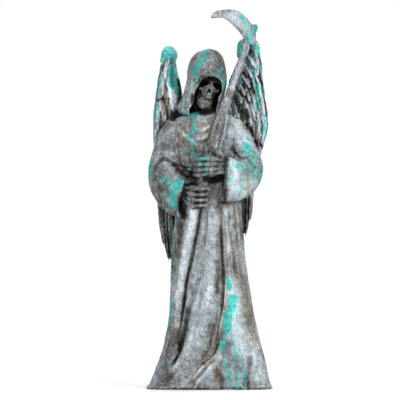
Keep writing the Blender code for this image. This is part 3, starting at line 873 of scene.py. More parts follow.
class ConcreteNodes:
    """The painted concrete that every piece shares, as a node group built once.

    The group reads the place on the object and the masks on the skin. Its settings are the
    piece's own lightness, the strength of the dark wash and painted shade and of the cracks, and its grain.
    """

    # How often each texture repeats in a metre; the streaks and barbs are drawn out along z
    BLOTCHES = 26.0
    WARM_AREAS = 38.0
    COLD_AREAS = 47.0
    SPLASHES = 52.0
    CRAZING = 62.0
    VEINS = 74.0
    PATCHES = 85.0
    SWAY = 90.0
    PORES = 210.0
    SPATTER = 230.0
    SPECKS = 330.0
    PITS = 900.0
    STREAKS = (240, 240, 22)
    BARBS = (620, 620, 70)
    SWAY_REACH = (0.008, 0.008, 0.008)     # how far the sway moves a pattern, in metres
    SETTINGS = {"Lightness": 0.0, "Wash": 1.0, "Cracks": 1.0, "Streaks": 0.5, "Barbs": 0.0}

    def __init__(self) -> None:
        """Builds the group."""
        self.group = bpy.data.node_groups.new("painted concrete", "ShaderNodeTree")
        face = self.group.interface
        face.new_socket("Place", in_out="INPUT", socket_type="NodeSocketVector")
        for mask in MASKS:
            face.new_socket(mask, in_out="INPUT", socket_type="NodeSocketFloat")
        for setting, value in self.SETTINGS.items():
            face.new_socket(setting, in_out="INPUT", socket_type="NodeSocketFloat").default_value = value
        face.new_socket("Colour", in_out="OUTPUT", socket_type="NodeSocketColor")
        face.new_socket("Roughness", in_out="OUTPUT", socket_type="NodeSocketFloat")
        face.new_socket("Height", in_out="OUTPUT", socket_type="NodeSocketFloat")
        self._wire()

    def _wire(self) -> None:
        """Adds and links the group's nodes."""
        kit = NodeKit(self.group)
        given = kit.node("NodeGroupInput").outputs
        out = kit.node("NodeGroupOutput").inputs
        place = given["Place"]

        sway = kit.node("ShaderNodeTexNoise")
        kit.feed(sway.inputs["Vector"], place)
        kit.feed(sway.inputs["Scale"], self.SWAY)
        shift = kit.node("ShaderNodeVectorMath", operation="MULTIPLY_ADD")
        kit.feed(shift.inputs[0], sway.outputs["Color"])
        kit.feed(shift.inputs[1], self.SWAY_REACH)
        kit.feed(shift.inputs[2], place)
        swayed = shift.outputs[0]

        blotch = kit.noise(place, self.BLOTCHES, 3.0)
        patch = kit.noise(swayed, self.PATCHES, 5.0, 0.65)
        speck = kit.noise(place, self.SPECKS, 5.0, 0.7)
        pits = kit.noise(place, self.PITS, 3.0, 0.6)
        streak = kit.noise(kit.stretch(swayed, self.STREAKS), 1.0, 4.0)
        barbs = kit.noise(kit.stretch(swayed, self.BARBS), 1.0, 3.0)

        pores = kit.fit(kit.noise(place, self.PORES, 3.0, 0.6), 0.13, 0.24)
        cracks = kit.math("MULTIPLY", self._cracks(kit, swayed, patch), given["Cracks"])
        contour = kit.math("ABSOLUTE", kit.noise(swayed, self.VEINS, 5.0, 0.6))
        veins = kit.math("MULTIPLY", kit.fit(contour, 0.0, 0.02, 1.0, 0.0), kit.fit(blotch, -0.1, 0.1))
        groove = kit.fit(kit.math("ADD", given["groove"], kit.math("MULTIPLY", patch, 0.35)), 0.06, 0.95)
        recess = kit.fit(kit.math("ADD", given["recess"], kit.math("MULTIPLY", patch, 0.12)), 0.05, 0.48)
        shelter = kit.fit(given["shelter"], 0.06, 0.45)
        ridge = kit.fit(given["groove"], -0.7, -0.03, 1.0, 0.0)
        # The dark wash and painted shade in the grooves, recesses and sheltered hollows
        wash_and_shade = kit.math("MAXIMUM", groove, kit.math("MAXIMUM", recess, kit.math("MULTIPLY", shelter, 0.85)))
        wash_and_shade = kit.math("MULTIPLY", wash_and_shade, given["Wash"])

        tone = kit.math("ADD", given["Lightness"], 0.53)
        # Lighter where wiped pale or given painted highlight; darker with dirt, dark wash and painted shade
        for value, amount in (
            (blotch, 0.42), (patch, 0.68), (speck, 0.56), (pits, 0.2), (pores, -0.2), (ridge, 0.2),
            (veins, 0.1), (given["pale"], 0.15), (given["dirt"], -0.3), (cracks, -0.26), (wash_and_shade, -0.42),
            (kit.math("MULTIPLY", streak, given["Streaks"]), 0.6),
            (kit.math("MULTIPLY", barbs, given["Barbs"]), 0.9),
        ):
            tone = kit.math("ADD", tone, kit.math("MULTIPLY", value, amount))
        colour = kit.ramp(tone, TONES)

        warmer = kit.noise(place, self.WARM_AREAS, 2.0)
        warm = kit.fit(kit.math("ADD", given["warm"], warmer), 0.12, 0.7, 0.0, 0.6)
        colder = kit.noise(kit.stretch(place, (1, 1, 0.7)), self.COLD_AREAS, 2.0)
        cold = kit.fit(colder, 0.04, 0.26, 0.0, 0.6)
        colour = kit.mix(warm, colour, kit.mix(1.0, colour, WARM_WASH, "OVERLAY"))
        colour = kit.mix(cold, colour, kit.mix(1.0, colour, COLD_WASH, "SOFT_LIGHT"))

        stain = kit.fit(kit.math("MULTIPLY_ADD", patch, 1.5, third=given["paint"]), 0.05, 0.8, 0.0, 0.8)
        colour = kit.mix(stain, colour, kit.mix(1.0, colour, STAIN, "MULTIPLY"))
        broad = kit.math("MULTIPLY", kit.noise(swayed, self.SPLASHES, 3.0), 1.7)
        ragged = kit.math("MULTIPLY_ADD", kit.noise(swayed, self.SPATTER, 6.0, 0.7), 2.0, third=broad)
        edge = kit.math("ADD", given["paint"], kit.math("ADD", ragged, kit.math("MULTIPLY", speck, 0.6)))
        edge = kit.math("SUBTRACT", edge, kit.math("MULTIPLY", wash_and_shade, 0.25))
        some = kit.fit(given["paint"], 0.1, 0.34)
        cover = kit.math("MULTIPLY", kit.fit(edge, 0.5, 0.64, 0.0, 0.94), some)
        teal = kit.mix(kit.fit(kit.math("ADD", patch, speck), -0.22, 0.3), TEAL_DEEP, TEAL_PALE)
        teal = kit.mix(0.5, teal, kit.mix(1.0, teal, colour, "OVERLAY"))
        # Painted shade: the teal goes near black in the hollows
        teal = kit.mix(kit.math("MULTIPLY", wash_and_shade, 0.55), teal, grey(0.01))
        colour = kit.mix(cover, colour, teal)
        kit.feed(out["Colour"], colour)

        rough = kit.math("SUBTRACT", 0.86, kit.math("MULTIPLY", cover, 0.3))
        kit.feed(out["Roughness"], kit.math("ADD", rough, kit.math("MULTIPLY", speck, 0.3)))
        height = kit.math("MULTIPLY", patch, 0.5)
        for value, amount in ((speck, 0.45), (pits, 0.2), (cracks, -0.35), (cover, 0.12)):
            height = kit.math("ADD", height, kit.math("MULTIPLY", value, amount))
        lines = kit.math("MULTIPLY", barbs, given["Barbs"])
        kit.feed(out["Height"], kit.math("ADD", height, kit.math("MULTIPLY", lines, 0.8)))

    def _cracks(self, kit: NodeKit, place: object, patch: object) -> bpy.types.NodeSocket:
        """Thin crazing, strong in some places and gone in others.

        Args:
            kit: The group's nodes.
            place: Where it is read.
            patch: What thins it out.

        Returns:
            1 on a crack and 0 beside it.
        """
        net = kit.node("ShaderNodeTexVoronoi", feature="DISTANCE_TO_EDGE")
        kit.feed(net.inputs["Vector"], place)
        kit.feed(net.inputs["Scale"], self.CRAZING)
        line = kit.fit(net.outputs["Distance"], 0.0, 0.045, 1.0, 0.0)
        some = kit.fit(patch, -0.08, 0.12)
        return kit.math("MULTIPLY", line, some)


@dataclass(frozen=True)
class Finish:
    """How one piece is washed and brushed over the shared concrete.

    Attributes:
        name: The material's name.
        lightness: Lighter above 0, darker below.
        wash_and_shade: How strongly the dark wash and the painted shade stay in the hollows.
        cracks: How strong the crazing is.
        streaks: How strong the upright runs of the wash are.
        barbs: How strong the fine lines of the feathers are.
        relief: The height of the finest unevenness, in metres.
    """

    name: str
    lightness: float = 0.0
    wash_and_shade: float = 1.0
    cracks: float = 1.0
    streaks: float = 0.5
    barbs: float = 0.0
    relief: float = 0.0007

    def material(self, concrete: ConcreteNodes) -> bpy.types.Material:
        """Makes the material.

        Args:
            concrete: The shared node group.

        Returns:
            The new material.
        """
        finish = bpy.data.materials.new(self.name)
        finish.use_nodes = True
        kit = NodeKit(finish.node_tree)
        surface = finish.node_tree.nodes["Principled BSDF"]
        surface.inputs["Specular IOR Level"].default_value = 0.32
        mixed = kit.node("ShaderNodeGroup", node_tree=concrete.group)
        kit.feed(mixed.inputs["Place"], kit.node("ShaderNodeTexCoord").outputs["Object"])
        for mask in MASKS:
            reader = kit.node("ShaderNodeAttribute", attribute_name=mask)
            kit.feed(mixed.inputs[mask], reader.outputs["Fac"])
        own = {"Lightness": self.lightness, "Wash": self.wash_and_shade, "Cracks": self.cracks,
               "Streaks": self.streaks, "Barbs": self.barbs}
        for setting, value in own.items():
            mixed.inputs[setting].default_value = value
        bump = kit.node("ShaderNodeBump")
        bump.inputs["Distance"].default_value = self.relief
        bump.inputs["Strength"].default_value = 1.0
        kit.feed(bump.inputs["Height"], mixed.outputs["Height"])
        kit.feed(surface.inputs["Base Color"], mixed.outputs["Colour"])
        kit.feed(surface.inputs["Roughness"], mixed.outputs["Roughness"])
        kit.feed(surface.inputs["Normal"], bump.outputs["Normal"])
        return finish


# The pieces


@dataclass
class Piece:
    """A part of the casting that is modelled and finished by itself.

    Attributes:
        name: The name of its object.
        finish: How it is painted.
        fine_rounds: How many rounds of smoothing tell its fine relief from its form.
    """

    name: str
    finish: Finish
    fine_rounds: int = 14

    def skin(self) -> bpy.types.Mesh:
        """Models the piece."""
        raise NotImplementedError

    def fine_scale(self) -> float:
        """The depth of the grooves that hold a full wash and full painted shade, in metres."""
        return 0.0009


@dataclass
class Robe(Piece):
    """The robe from hem to neck with both wide sleeves, on its thin foot plate.

    Attributes:
        plate_thickness: How thick the foot plate is, in metres.
        plate_lip: How far it stands out from under the hem.
        sleeve_wall: How thick the cloth is at the sleeves' mouths.
        sleeve_hollow: How deep the sleeves are hollow.
        grain: The size of the skin's faces.
    """

    name: str = "robe"
    finish: Finish = Finish("washed robe", lightness=0.0, wash_and_shade=0.65, cracks=0.7, streaks=0.6)
    plate_thickness: float = 0.005
    plate_lip: float = 0.0012
    sleeve_wall: float = 0.0048
    sleeve_hollow: float = 0.026
    grain: float = 0.00165
    fine_rounds: int = 8

    def trunk(self) -> bpy.types.Mesh:
        """The body of the robe: height, left, right, middle's y and half-depth of each level.

        Returns:
            The skin.
        """
        levels = np.array(
            [
                (0, -62.5, 62, 0, 34),
                (4, -60.5, 61, 0, 33.5),
                (14, -56, 58, 0, 32),
                (28, -50.5, 54.5, 0, 30.5),
                (43, -45.5, 50.5, 0, 29),
                (60, -42, 46.5, 0, 28),
                (80, -39.5, 42.5, 0.5, 26.5),
                (105, -38.5, 38.5, 1, 25),
                (135, -37.5, 34, 1.5, 24),
                (170, -34.5, 32, 2, 22.5),
                (210, -32, 30, 2, 21.5),
                (240, -37, 30, 3, 21.5),
                (256, -40, 32, 3, 20.5),
                (266, -37, 30, 3, 18.5),
                (273, -30, 24, 3, 16),
                (277, -20, 15, 4, 12),
                (281, -12, 8, 6, 7),
                (295, -8, 4, 6, 6),
            ]
        )
        square = np.interp(levels[:, 0], [0, 30, 90], [3.4, 2.7, 2.15])
        return standing(levels, 160, 200, square)

    def foot_plate(self) -> bpy.types.Mesh:
        """The thin plate under the hem.

        Returns:
            The skin.
        """
        lip, top = self.plate_lip / U, self.plate_thickness / U
        wide, deep = 62.3 + lip, 34 + lip
        path = [(-0.25, 0, -top / 2), (-0.25, 0, top)]
        return loft(path, [wide, wide], [deep, deep], 160, 3, power=3.4, level=True)

    def sleeve(self, path: Line, tall: Sequence[float], deep: Sequence[float]) -> bpy.types.Mesh:
        """A wide sleeve with a hollow in its mouth.

        Args:
            path: Its middle line from the shoulder to the cuff.
            tall: Its half-height at each point.
            deep: Its half-depth at each point.

        Returns:
            The skin.
        """
        skin = bmesh.new()
        skin.from_mesh(loft(path, tall, deep, 56, 64))
        way = Vector(path[-1]) - Vector(path[-2])
        way.normalize()
        caps = [face for face in skin.faces if len(face.verts) > 4]
        mouth = max(caps, key=lambda face: face.calc_center_median().dot(way))
        bmesh.ops.inset_region(skin, faces=[mouth], thickness=self.sleeve_wall, use_even_offset=False)
        steps = 6
        for _ in range(steps):
            moved = bmesh.ops.extrude_face_region(skin, geom=[mouth])["geom"]
            bmesh.ops.delete(skin, geom=[mouth], context="FACES_ONLY")
            mouth = next(part for part in moved if isinstance(part, bmesh.types.BMFace))
            bmesh.ops.translate(skin, vec=-way * self.sleeve_hollow / steps, verts=mouth.verts)
        return as_mesh(skin)

    def sleeves(self) -> list[bpy.types.Mesh]:
        """The right sleeve, which reaches lower, the left, and the right cuff's rolled top.

        Returns:
            The skins.
        """
        right_arm = self.sleeve(
            [(-33, 3, 266), (-39, 2, 251), (-43.5, -2, 234), (-44.5, -8, 216),
             (-38.5, -16, 203), (-30.5, -22, 197), (-25, -25, 195.5)],
            [10, 13.5, 14.5, 17.5, 21, 24, 25],
            [10, 14, 14, 13.5, 12, 10.5, 9.5],
        )
        left_arm = self.sleeve(
            [(20, 3, 266), (27, 2, 253), (34, -2, 236), (36.5, -9, 219),
             (30, -18, 211), (20, -24, 209.5), (12.5, -26, 210)],
            [11, 14, 14.5, 17, 20, 22, 22.5],
            [10, 14, 14, 13.5, 12, 10.5, 9.5],
        )
        cuff_top = limb([(-37, -17, 220.5), (-30, -21.5, 218), (-22, -25, 214.5)], [3.2, 3.4, 2.8], 16)
        return [right_arm, left_arm, cuff_top]

    def skirt_folds(self) -> list[Fold]:
        """The drapery below the hands, led by the great fold that sweeps to the right foot.

        Returns:
            The folds.
        """
        leg = [(4, 200), (4, 167), (2.5, 130), (-1, 98), (-7, 68), (-17, 38), (-34, 17), (-52, 4)]
        groove = [
            (12, 188), (12.5, 165), (14, 134), (15, 112), (14.3, 92), (12, 75), (8.5, 52), (4, 35),
            (-4, 26), (-14, 16), (-27, 3),
        ]
        beside = [
            (-11, 118), (-15, 100), (-21.5, 80), (-25, 65), (-28, 50), (-32, 38), (-38, 27),
            (-46, 17), (-58, 2),
        ]
        by_pole = [(-8.5, 184), (-12, 167), (-15, 150), (-17.5, 134), (-22, 117), (-26, 92), (-31, 55)]
        return [
            Fold(leg, 16, 6),
            Fold(groove, 12, 2.2, Cut.LAP),
            Fold([(x - 1.4, z) for x, z in groove], 2.4, -2),
            Fold([(10, 95), (7, 72), (3, 55), (-0.5, 42), (-7, 31), (-14, 24)], 1.8, -1),
            Fold([(12, 80), (10, 64), (7, 48), (2, 35), (-5, 25), (-14, 14), (-23, 4)], 3.4, 1.7),
            Fold(beside, 4, -2.8),
            Fold(by_pole, 2.6, -1.8),
            Fold([(-4, 182), (-5, 160), (-8, 138)], 3.6, -1.6),
            Fold([(15, 62), (17, 25), (18, -12)], 22, -4),
            Fold([(18.8, 187), (19.5, 165), (22, 145), (24, 134), (26, 115), (29, 102)], 2.2, -1.8),
            Fold([(24, 187), (26, 165), (28, 150), (30, 134), (32, 115), (35, 98)], 2.4, -2),
            Fold([(29, 187), (31, 165), (33.5, 146)], 2.2, -1.6),
            Fold([(40.5, 36), (39, 24), (37.5, 12), (36.5, -4)], 4.6, -1.5),
            Fold([(45, 50), (49, 22), (52, -4)], 8, 3),
            Fold([(11, 32), (12, 14), (12.5, -4)], 3, -1.4),
            Fold([(4, 29), (-3, 19), (-12, 8), (-17, -2)], 2.4, 1.2),
            Fold([(-35.5, 165), (-36, 115), (-37.5, 85), (-40, 60), (-43, 38), (-44, 15)], 2.4, -2.2),
        ]

    def chest_folds(self) -> list[Fold]:
        """The cowl below the chin, and the cloth that hangs over the right forearm."""
        return [
            Fold([(-14, 266), (-6, 265), (1, 268)], 2, -0.7),
            Fold([(-18, 263), (-7, 260), (2, 264.5)], 3.4, 1),
            Fold([(-16, 257), (-7, 256), (1, 260)], 2, -0.9),
            Fold([(-16, 253), (-7, 251), (0, 254)], 3.2, 0.8),
            Fold([(-16, 247.5), (-8, 247), (-1, 251)], 2, -0.9),
            Fold([(-36, 268), (-28, 257), (-20, 250), (-12, 245)], 3.6, 1.2),
            Fold([(-27, 264), (-22, 256), (-16, 252)], 2.4, -0.9),
            Fold([(-38, 262), (-32, 252), (-26, 244), (-18, 239)], 3, -0.8),
            Fold([(18, 282), (14.5, 262), (11, 246), (8, 236)], 3.6, 1.6),
            Fold([(21.5, 280), (18.5, 262), (15.5, 244)], 2.2, -1.4),
            Fold([(-34, 244), (-31, 232), (-24, 221), (-13, 211)], 7, 1.4),
        ]

    def sleeve_folds(self) -> list[Fold]:
        """The crease that arcs over the right forearm, and the pouch of cloth on the left arm."""
        return [
            Fold([(-60, 216), (-55, 223), (-46, 230), (-38, 227), (-31, 220)], 3, -2.6),
            Fold([(-34, 222), (-28, 216.5), (-21, 211)], 2.4, -1),
            Fold([(-59, 227), (-50, 236), (-41, 237), (-33, 231)], 5, 1.8),
            Fold([(22, 245), (24, 237), (29, 231.5), (35, 231.5), (41, 236)], 3, -2.2),
            Fold([(28, 250), (31, 244), (36, 240)], 6, 1.8),
            Fold([(36, 231), (42, 226), (48, 219)], 3, -1.8),
            Fold([(21, 232), (18, 214), (17, 192)], 4, 1.5),
            Fold([(-26, 190), (-31, 178), (-29, 168)], 3, 1),
        ]

    def flutes(self) -> list[Fold]:
        """Even flutes down the sides and back, opening towards the hem.

        Returns:
            The folds.
        """
        folds = []
        for side, spread, count in ((Side.BACK, 46, 7), (Side.LEFT, 20, 3), (Side.RIGHT, 20, 3)):
            step = 2 * spread / (count - 1)
            for i in range(count):
                at_hem = step * i - spread + 2 * np.sin(2.4 * i + spread)
                line = [(0.5 * at_hem, 190), (0.62 * at_hem, 110), (0.8 * at_hem, 50), (at_hem, -12)]
                rise = 3.2 + 0.8 * np.cos(1.9 * i) if side is Side.BACK else 1.0
                folds.append(Fold(line, 0.42 * step, rise, side=side))
        return folds

    def fine_scale(self) -> float:
        """The drapery is cut deep."""
        return 0.0016

    def skin(self) -> bpy.types.Mesh:
        """Welds the trunk, the plate and the sleeves, and carves the drapery.

        Returns:
            The skin.
        """
        body = weld([self.trunk(), self.foot_plate(), *self.sleeves()], self.grain, relax=4)
        carve(body, [*self.flutes(), *self.skirt_folds(), *self.chest_folds(), *self.sleeve_folds()])
        return cut_flat_below(roughen(body, 0.0009, (0.022, 0.022, 0.034)))


def cut_flat_below(mesh: bpy.types.Mesh) -> bpy.types.Mesh:
    """Cuts a skin off at the ground and closes it with flat faces.

    Args:
        mesh: The skin.

    Returns:
        A new skin.
    """
    skin = bmesh.new()
    skin.from_mesh(mesh)
    everything = [*skin.verts, *skin.edges, *skin.faces]
    bmesh.ops.bisect_plane(skin, geom=everything, plane_co=(0, 0, 0), plane_no=UP, clear_inner=True)
    bmesh.ops.remove_doubles(skin, verts=skin.verts, dist=0.00005)
    rim = [edge for edge in skin.edges if edge.is_boundary]
    bmesh.ops.triangle_fill(skin, edges=rim, use_dissolve=False, normal=-Vector(UP))
    return as_mesh(skin)


@dataclass
class Hood(Piece):
    """The hood, with a deep hollow for the face.

    Attributes:
        grain: The size of the skin's faces, in metres.
        opening: The hollow's rim from the front, in figure units.
        rim: The raised edge of the cloth round it.
    """

    name: str = "hood"
    finish: Finish = Finish("washed hood", lightness=-0.03, cracks=1.6)
    grain: float = 0.00085
    fine_rounds: int = 11
    opening: Line = (
        (-2, 313), (-8, 310.5), (-11.5, 305), (-13.7, 301), (-15.7, 297), (-16.5, 292), (-18, 285.5),
        (-21.5, 278), (-20, 273), (-14, 269), (-4, 267.5), (4, 269), (6.5, 275), (7, 281), (8.8, 286),
        (9.5, 292), (11.5, 296), (12.5, 302), (11.5, 308), (7.5, 311.5), (3, 313),
    )
    rim: Line = (
        (-21, 276), (-18, 286), (-16, 297), (-10, 308), (-2, 313.5), (8, 312), (13, 303), (11, 292),
    )

    def skin(self) -> bpy.types.Mesh:
        """Models the hood: height, left, right, middle's y and half-depth of each level.

        Returns:
            The skin.
        """
        levels = np.array(
            [
                (341, -2, 1, 3, 4),
                (338, -11.5, 8, 2.5, 11),
                (334, -16.5, 12, 2, 15.5),
                (328, -20, 14.5, 1.5, 19),
                (320, -22.3, 16.5, 1, 21.5),
                (312, -22.8, 17, 1, 23),
                (303, -24.5, 16.5, 1, 23.5),
                (292, -28, 14.5, 1.5, 22.5),
                (283, -32, 14, 2.5, 20.5),
                (277, -31, 15, 3, 19),
                (272, -25, 14, 4, 16),
                (268, -18, 10, 5, 13),
            ]
        )
        shell = weld([standing(levels, 120, 120)], self.grain, relax=1)
        carve(shell, [
            Fold(self.rim, 4, 0.8),
            Fold([(-25, 313), (-27, 300), (-30, 286)], 3, 1.2),
            Fold([(-20, 316), (-21.5, 302), (-25, 289), (-28, 279)], 2, -1.2),
        ])
        hollow(shell, self.opening, 21, 1.6)
        return roughen(shell, 0.0007, (0.016, 0.016, 0.02), 3.0)


@dataclass
class Skull(Piece):
    """A bare skull, leaning towards its left shoulder, set back in the hood.

    It is modelled upright round the nose, then put in its place.

    Attributes:
        grain: The size of the skin's faces, in metres.
        lean: How far it leans, in degrees.
    """

    name: str = "skull"
    # Painted shade: the skull is darker and more strongly washed for the hood's shadow over it
    finish: Finish = Finish("bone in painted shade", lightness=-0.19, wash_and_shade=1.2, cracks=0.4, streaks=0.1)
    grain: float = 0.0005
    lean: float = 15.0

    def skin(self) -> bpy.types.Mesh:
        """Models the brow, cheeks, jaws and teeth, and hollows the eyes and the nose.

        Returns:
            The skin.
        """
        brow = [(-11.5, 6, 8.6), (-6.4, 1.5, 11), (0.4, 0.8, 10.4), (5.6, 1.6, 10.6), (9, 5, 8)]
        jaw = [
            (-9.2, 9, -2), (-8.4, 6, -8.5), (-7, 3, -13), (-2.4, 1.2, -16.3),
            (2.8, 3, -13.6), (4.2, 7, -9), (4.4, 10, -3),
        ]
        pieces = [
            ball((0, 13, 13), (12, 13, 12.5), 5),
            ball((-0.6, 3.8, 0), (7.8, 5, 8.6)),
            limb(brow, [1.4, 1.8, 1.5, 1.8, 1.4]),
            limb([(0.3, 0.8, 10), (0.2, -0.9, 6.6), (0, -0.6, 3.4)], [1.7, 1.3, 1]),
            ball((-1.2, 2.8, -5.8), (5, 3.9, 4)),
            limb(jaw, [1.6, 2.1, 2.6, 3.1, 2.6, 2, 1.6]),
            ball((-2.8, 2.8, -12), (6, 3.8, 5)),
            limb([(-4, 1.4, 0.2), (-8.2, 1.6, 0), (-11, 4, 0), (-11.6, 11, 2)], [1.7, 1.9, 1.7, 1.3]),
            limb([(3.5, 1.4, 0.6), (6.2, 2.4, 1.6), (8.4, 6, 2.8), (8.8, 11, 4)], [1.6, 1.8, 1.5, 1.3]),
        ]
        face = weld(pieces, self.grain, relax=4)
        hollow(face, [(-2.6, 4.6), (-2.6, 9.4), (-6.8, 10), (-11.2, 8), (-11.2, 2.8), (-7.2, 2.3)], 7, 1.4)
        hollow(face, [(2.4, 4.3), (1.8, 9.2), (4.8, 10.6), (8.6, 10), (9.2, 5.2), (6, 3.4)], 7, 1.4)
        hollow(face, [(-0.3, 3.8), (1.9, 0.3), (2.4, -2.6), (0.2, -2.6), (-2.3, -3.4), (-2.1, 0)], 3.8, 0.8)
        carve(face, [
            Fold([(-3.4, -9.6), (0.2, -9.4), (3.2, -8.6)], 0.7, -0.55),
            Fold([(-11, -3), (-9.8, -6), (-7.6, -9.4)], 1.7, -2),
            Fold([(5.6, -0.6), (4.4, -5)], 2, -1.4),
        ])
        for i in range(-3, 3):
            across = 1.2 * i + 0.6
            carve(face, [Fold([(across, -7.4), (across, -9.3), (across + 0.2, -11.4)], 0.5, -0.45)])
        turn = Matrix.Rotation(radians(self.lean), 4, "Y")
        face.transform(Matrix.Translation(Vector((-0.6, -13.5, 298.5)) * U) @ turn)
        return roughen(face, 0.0004, (0.006, 0.006, 0.006), 5.0)

    def fine_scale(self) -> float:
        """The skull's own carving is fine."""
        return 0.0007


@dataclass
class Scythe(Piece):
    """The pole, rough as bark, and the crescent blade with its heel.

    Attributes:
        pole_diameter: The pole's diameter where it is thickest, in metres.
        pole_top_diameter: Its diameter at the thin end.
        blade_thickness: The blade's thickness at its heel.
        grain: The size of the skin's faces.
        route: The pole's middle line from the blade down, in figure units.
    """

    name: str = "scythe"
    finish: Finish = Finish("washed scythe", lightness=-0.03, cracks=0.3, streaks=0.6)
    pole_diameter: float = 0.0195
    pole_top_diameter: float = 0.007
    blade_thickness: float = 0.011
    grain: float = 0.00084
    fine_rounds: int = 11
    route: Line = (
        (36.5, 3, 349), (32.5, 2, 331), (26.8, -2, 317), (22.6, -7, 304), (19, -12, 293),
        (13.5, -18, 280), (7.5, -23, 262), (2.5, -27, 243), (-3, -29, 223), (-7, -29.5, 208),
        (-16, -27, 182), (-22, -24.5, 150), (-28.5, -22, 114), (-32, -22, 84), (-35, -23, 55),
        (-39.5, -24.5, 28),
    )

    def pole(self) -> bpy.types.Mesh:
        """The pole, thick through the hands and thinner towards both ends.

        Returns:
            The skin.
        """
        full, top = self.pole_diameter / 2 / U, self.pole_top_diameter / 2 / U
        share = np.array([
            0.1, 0.3, 0.43, 0.46, 0.5, 0.6, 0.68, 0.73, 0.78, 0.78, 1, 0.98, 0.66, 0.55, 0.52, 0.4,
        ])
        pole = limb(self.route, top + (full - top) * share, 20, 160)
        bark = weld([pole], self.grain, relax=1)
        roughen(bark, 0.0014, (0.006, 0.006, 0.026), 7.0)
        return roughen(bark, 0.0006, (0.003, 0.003, 0.006), 9.0)

    def blade(self) -> list[bpy.types.Mesh]:
        """The crescent, thicker along its back than at its edge, and the heel at the pole.

        Returns:
            The skins.
        """
        back = np.array([
            (1.2, 372.6), (4, 376.8), (8, 379.2), (14, 380), (22, 380.2), (28, 379),
            (33, 376), (38, 370.5), (44, 362.5), (46, 354), (43.5, 346),
        ])
        edge = np.array([
            (1, 371.2), (4.6, 371.6), (8.6, 371.8), (12.5, 372), (17, 369.4), (21.5, 366),
            (25.5, 362.3), (29, 358.4), (32, 354), (34.5, 349.5), (35.5, 345),
        ])
        middle, half = (back + edge) / 2, np.linalg.norm(back - edge, axis=1) / 2
        path = np.column_stack([middle[:, 0], np.full(len(middle), 3.0), middle[:, 1]])
        thick = np.interp(np.arange(len(middle)), [0, 2, len(middle) - 1], [0.3, 0.8, 1])
        plate = loft(path, half, thick * self.blade_thickness / 2 / U, 28, 60)
        heel = limb([(39, 3, 350), (42.5, 3, 359), (45.5, 3.5, 363)], [4, 4.4, 3.2], 16)
        return [plate, heel]

    def skin(self) -> bpy.types.Mesh:
        """Welds the pole and the blade."""
        scythe = weld([self.pole(), *self.blade()], self.grain, relax=1)
        return roughen(scythe, 0.0003, (0.009, 0.009, 0.009), 11.0)


@dataclass
class Hands(Piece):
    """Both bony hands round the pole, the left one above.

    Attributes:
        finger_diameter: The diameter of a finger's joint, in metres.
        grain: The size of the skin's faces.
    """

    name: str = "hands"
    finish: Finish = Finish("dark hands", lightness=-0.15, wash_and_shade=1.4, cracks=0.2, streaks=0.2)
    finger_diameter: float = 0.0072
    grain: float = 0.00062
    fine_rounds: int = 11

    def bone(self, joints: Line, scale: float = 1.0) -> bpy.types.Mesh:
        """A bony finger, thick at the joints and thin between them.

        Args:
            joints: Its joints, in figure units.
            scale: How thick it is, as a share of a plain finger.

        Returns:
            The skin.
        """
        path, radii = [np.array(joints[0], float)], [1.1]
        for i, (a, b) in enumerate(zip(joints, joints[1:])):
            path += [(np.array(a) + b) / 2, np.array(b, float)]
            radii += [0.74 - 0.06 * i, 1.0 - 0.12 * i]
        return limb(path, np.array(radii) * scale * self.finger_diameter / 2 / U, 12, 8 * len(path))

    def palm(self, path: Line) -> bpy.types.Mesh:
        """The flat of a hand, from the wrist to the knuckles."""
        return loft(path, [6, 7, 7.5], [4, 3.4, 2.2], 24, 16)

    def skin(self) -> bpy.types.Mesh:
        """Models each finger from the wrist round the pole, the thumbs and the palms.

        Returns:
            The skin.
        """
        pieces = []
        for i, z in enumerate((230.5, 225, 219.5, 214.5)):
            x = -0.5 - 0.6 * i
            pieces.append(self.bone([(18, -27.5, 228.5 - 3.4 * i), (x, -37, z)], 1.0))
            around = [(x, -37, z), (x - 9.5, -36.5, z - 0.5), (x - 13, -30, z - 0.5), (x - 10, -25, z)]
            pieces.append(self.bone(around))
        pieces.append(self.bone([(14, -28, 232), (8, -35, 237.5), (1, -36.5, 240.5), (-3, -34, 239)], 1.5))
        pieces.append(self.palm([(22, -24, 222), (12, -29, 222.5), (3, -33, 222.5)]))
        for i, z in enumerate((200.5, 194.8, 189.2, 184)):
            x = -16 - 0.7 * i
            pieces.append(self.bone([(-31, -25, 202 - 3 * i), (x, -35, z)], 1.0))
            around = [(x, -35, z), (x + 9, -36, z), (x + 13.5, -30, z), (x + 10.5, -24, z)]
            pieces.append(self.bone(around))
        thumb = [(-28, -26, 205), (-20, -33.5, 209), (-12, -35.5, 207.5), (-7, -35, 206)]
        pieces.append(self.bone(thumb, 1.2))
        pieces.append(self.palm([(-37, -21, 200), (-28, -26, 196), (-19, -31, 192.5)]))
        hands = weld(pieces, self.grain, relax=2)
        return roughen(hands, 0.0003, (0.004, 0.004, 0.004), 13.0)

    def fine_scale(self) -> float:
        """The hands' own carving is fine."""
        return 0.0005


